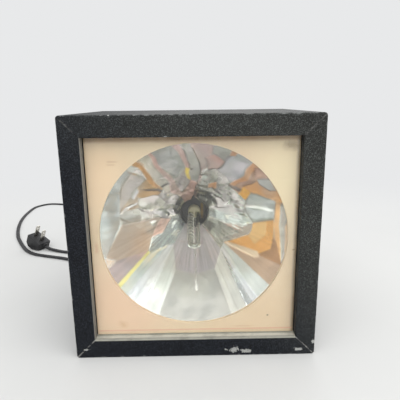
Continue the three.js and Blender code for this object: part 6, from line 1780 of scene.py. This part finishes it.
# %% Hook-up wires
for colour, nodes in (
        ("black", ("cathode_lead", "cord_core_live")), ("yellow", ("trigger_lead",)),
        ("red", ("anode_lead", "switch_lead")),
        ("white", ("cord_core_neutral", "speed_lead_end", "speed_lead_wiper"))):
    for node in nodes:
        settle(smooth_copy(node, node + "_wire"), finish[colour + "_insulation"], colour + "_wire", node)
    print(colour, "wires:", len(nodes))

# %% Finishes of the solids that stay, and the cord
for stuff, nodes in (
        ("tungsten", ("cathode", "anode")), ("dark_phenolic", ("switch_case",)),
        ("brass", ("socket_contact", "speed_shaft")),
        ("zinc_plate", ("socket_strap", "speed_control_body", "speed_control_nut")),
        ("nickel_plate", ("switch_nut", "plug_blade_far", "plug_blade_near")),
        ("satin_black", ("rear_panel",)),
        ("moulded_black", ("thyristor", "rectifier_diode_1", "rectifier_diode_2")),
        ("dipped_red", ("trigger_capacitor",)), ("white_cement", ("power_resistor",))):
    finish_node(finish[stuff], *nodes)
settle(power_cord, finish["rubber"], "black_rubber", "power_cord_lead", "power_cord_coil", "power_cord_tail")

# %% [markdown]
# ## The stage
#
# A pale floor and a pale surround, both plain. The surround comes from the world, and only rays that the
# camera sees directly, in a mirror or through glass meet it at full strength. One large soft lamp hangs
# overhead, a small cool one fills in from the left, and one behind draws a rim along the top.

# %% Floor
FLOOR_HALF = 6.0
FLOOR_Z = -0.1 * MM
BACKGROUND = paint("#e8e9ea")
FADE_START, FADE_END = 0.2, 0.9


def seen_rays(tree):
    """1 for rays that show the background: from the camera, in a mirror or through glass."""
    rays = add(tree, "ShaderNodeLightPath").outputs
    mirrored = calculate(tree, "MAXIMUM", rays["Is Glossy Ray"], rays["Is Transmission Ray"])
    return calculate(tree, "MAXIMUM", rays["Is Camera Ray"], mirrored)


def make_floor():
    """The floor fades into the background with distance, so that no horizon shows."""
    corners = [(x * FLOOR_HALF, y * FLOOR_HALF, FLOOR_Z) for x, y in ((-1, -1), (1, -1), (1, 1), (-1, 1))]
    floor = new_piece("floor", corners, [(0, 1, 2, 3)])
    material, tree, surface, output = new_material("floor_paint")
    tone = uneven(tree, "#d0d0ce", "#cbcbc9", Amount=0.5, Scale=3.0, Grain=0.01)
    feed(tree, surface.inputs, {"Base Color": tone["Colour"], "Roughness": 0.85})
    away = vector_math(tree, "LENGTH", object_place(tree))["Value"]
    fade = times(tree, ranged(tree, away, FADE_START, FADE_END), seen_rays(tree))
    glow = add(tree, "ShaderNodeEmission", {"Color": BACKGROUND}).outputs[0]
    tree.links.new(mix_shaders(tree, fade, surface.outputs[0], glow), output)
    floor.data.materials.append(material)
    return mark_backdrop(floor)


make_floor()
print("floor in metres:", 2 * FLOOR_HALF)

# %% Surround and lamps
AMBIENT = 0.9
AIM = Vector((0, 0, LAMP_HEIGHT)) * MM


def make_world():
    world = bpy.data.worlds.new("surround")
    world.use_nodes = True
    scene.world = world
    tree = world.node_tree
    tree.nodes.clear()
    soft, full = (add(tree, "ShaderNodeBackground", {"Color": BACKGROUND, "Strength": strength}).outputs[0]
                  for strength in (AMBIENT, 1.0))
    output = tree.nodes.new("ShaderNodeOutputWorld").inputs["Surface"]
    tree.links.new(mix_shaders(tree, seen_rays(tree), soft, full), output)


def make_lamp(name, place, size, power, colour="#ffffff"):
    """A soft rectangular lamp at place, in metres, facing the cone."""
    data = bpy.data.lights.new(name, "AREA")
    data.shape = "RECTANGLE"
    data.size, data.size_y = size
    data.energy = power
    data.color = paint(colour)[:3]
    lamp = placed(name, data)
    way = AIM - Vector(place)
    lamp.matrix_world = Matrix.Translation(place) @ way.to_track_quat("-Z", "Y").to_matrix().to_4x4()
    lamp.visible_camera = False


make_world()
make_lamp("overhead", (0.4, -1.3, 1.9), (3.6, 3.0), 62)
make_lamp("fill_left", (-1.9, -1.3, 0.8), (1.6, 1.6), 4, "#eef3ff")
make_lamp("rim_back", (0.4, 1.6, 1.3), (1.4, 1.2), 8)
print("lamps:", [light.name for light in bpy.data.lights])
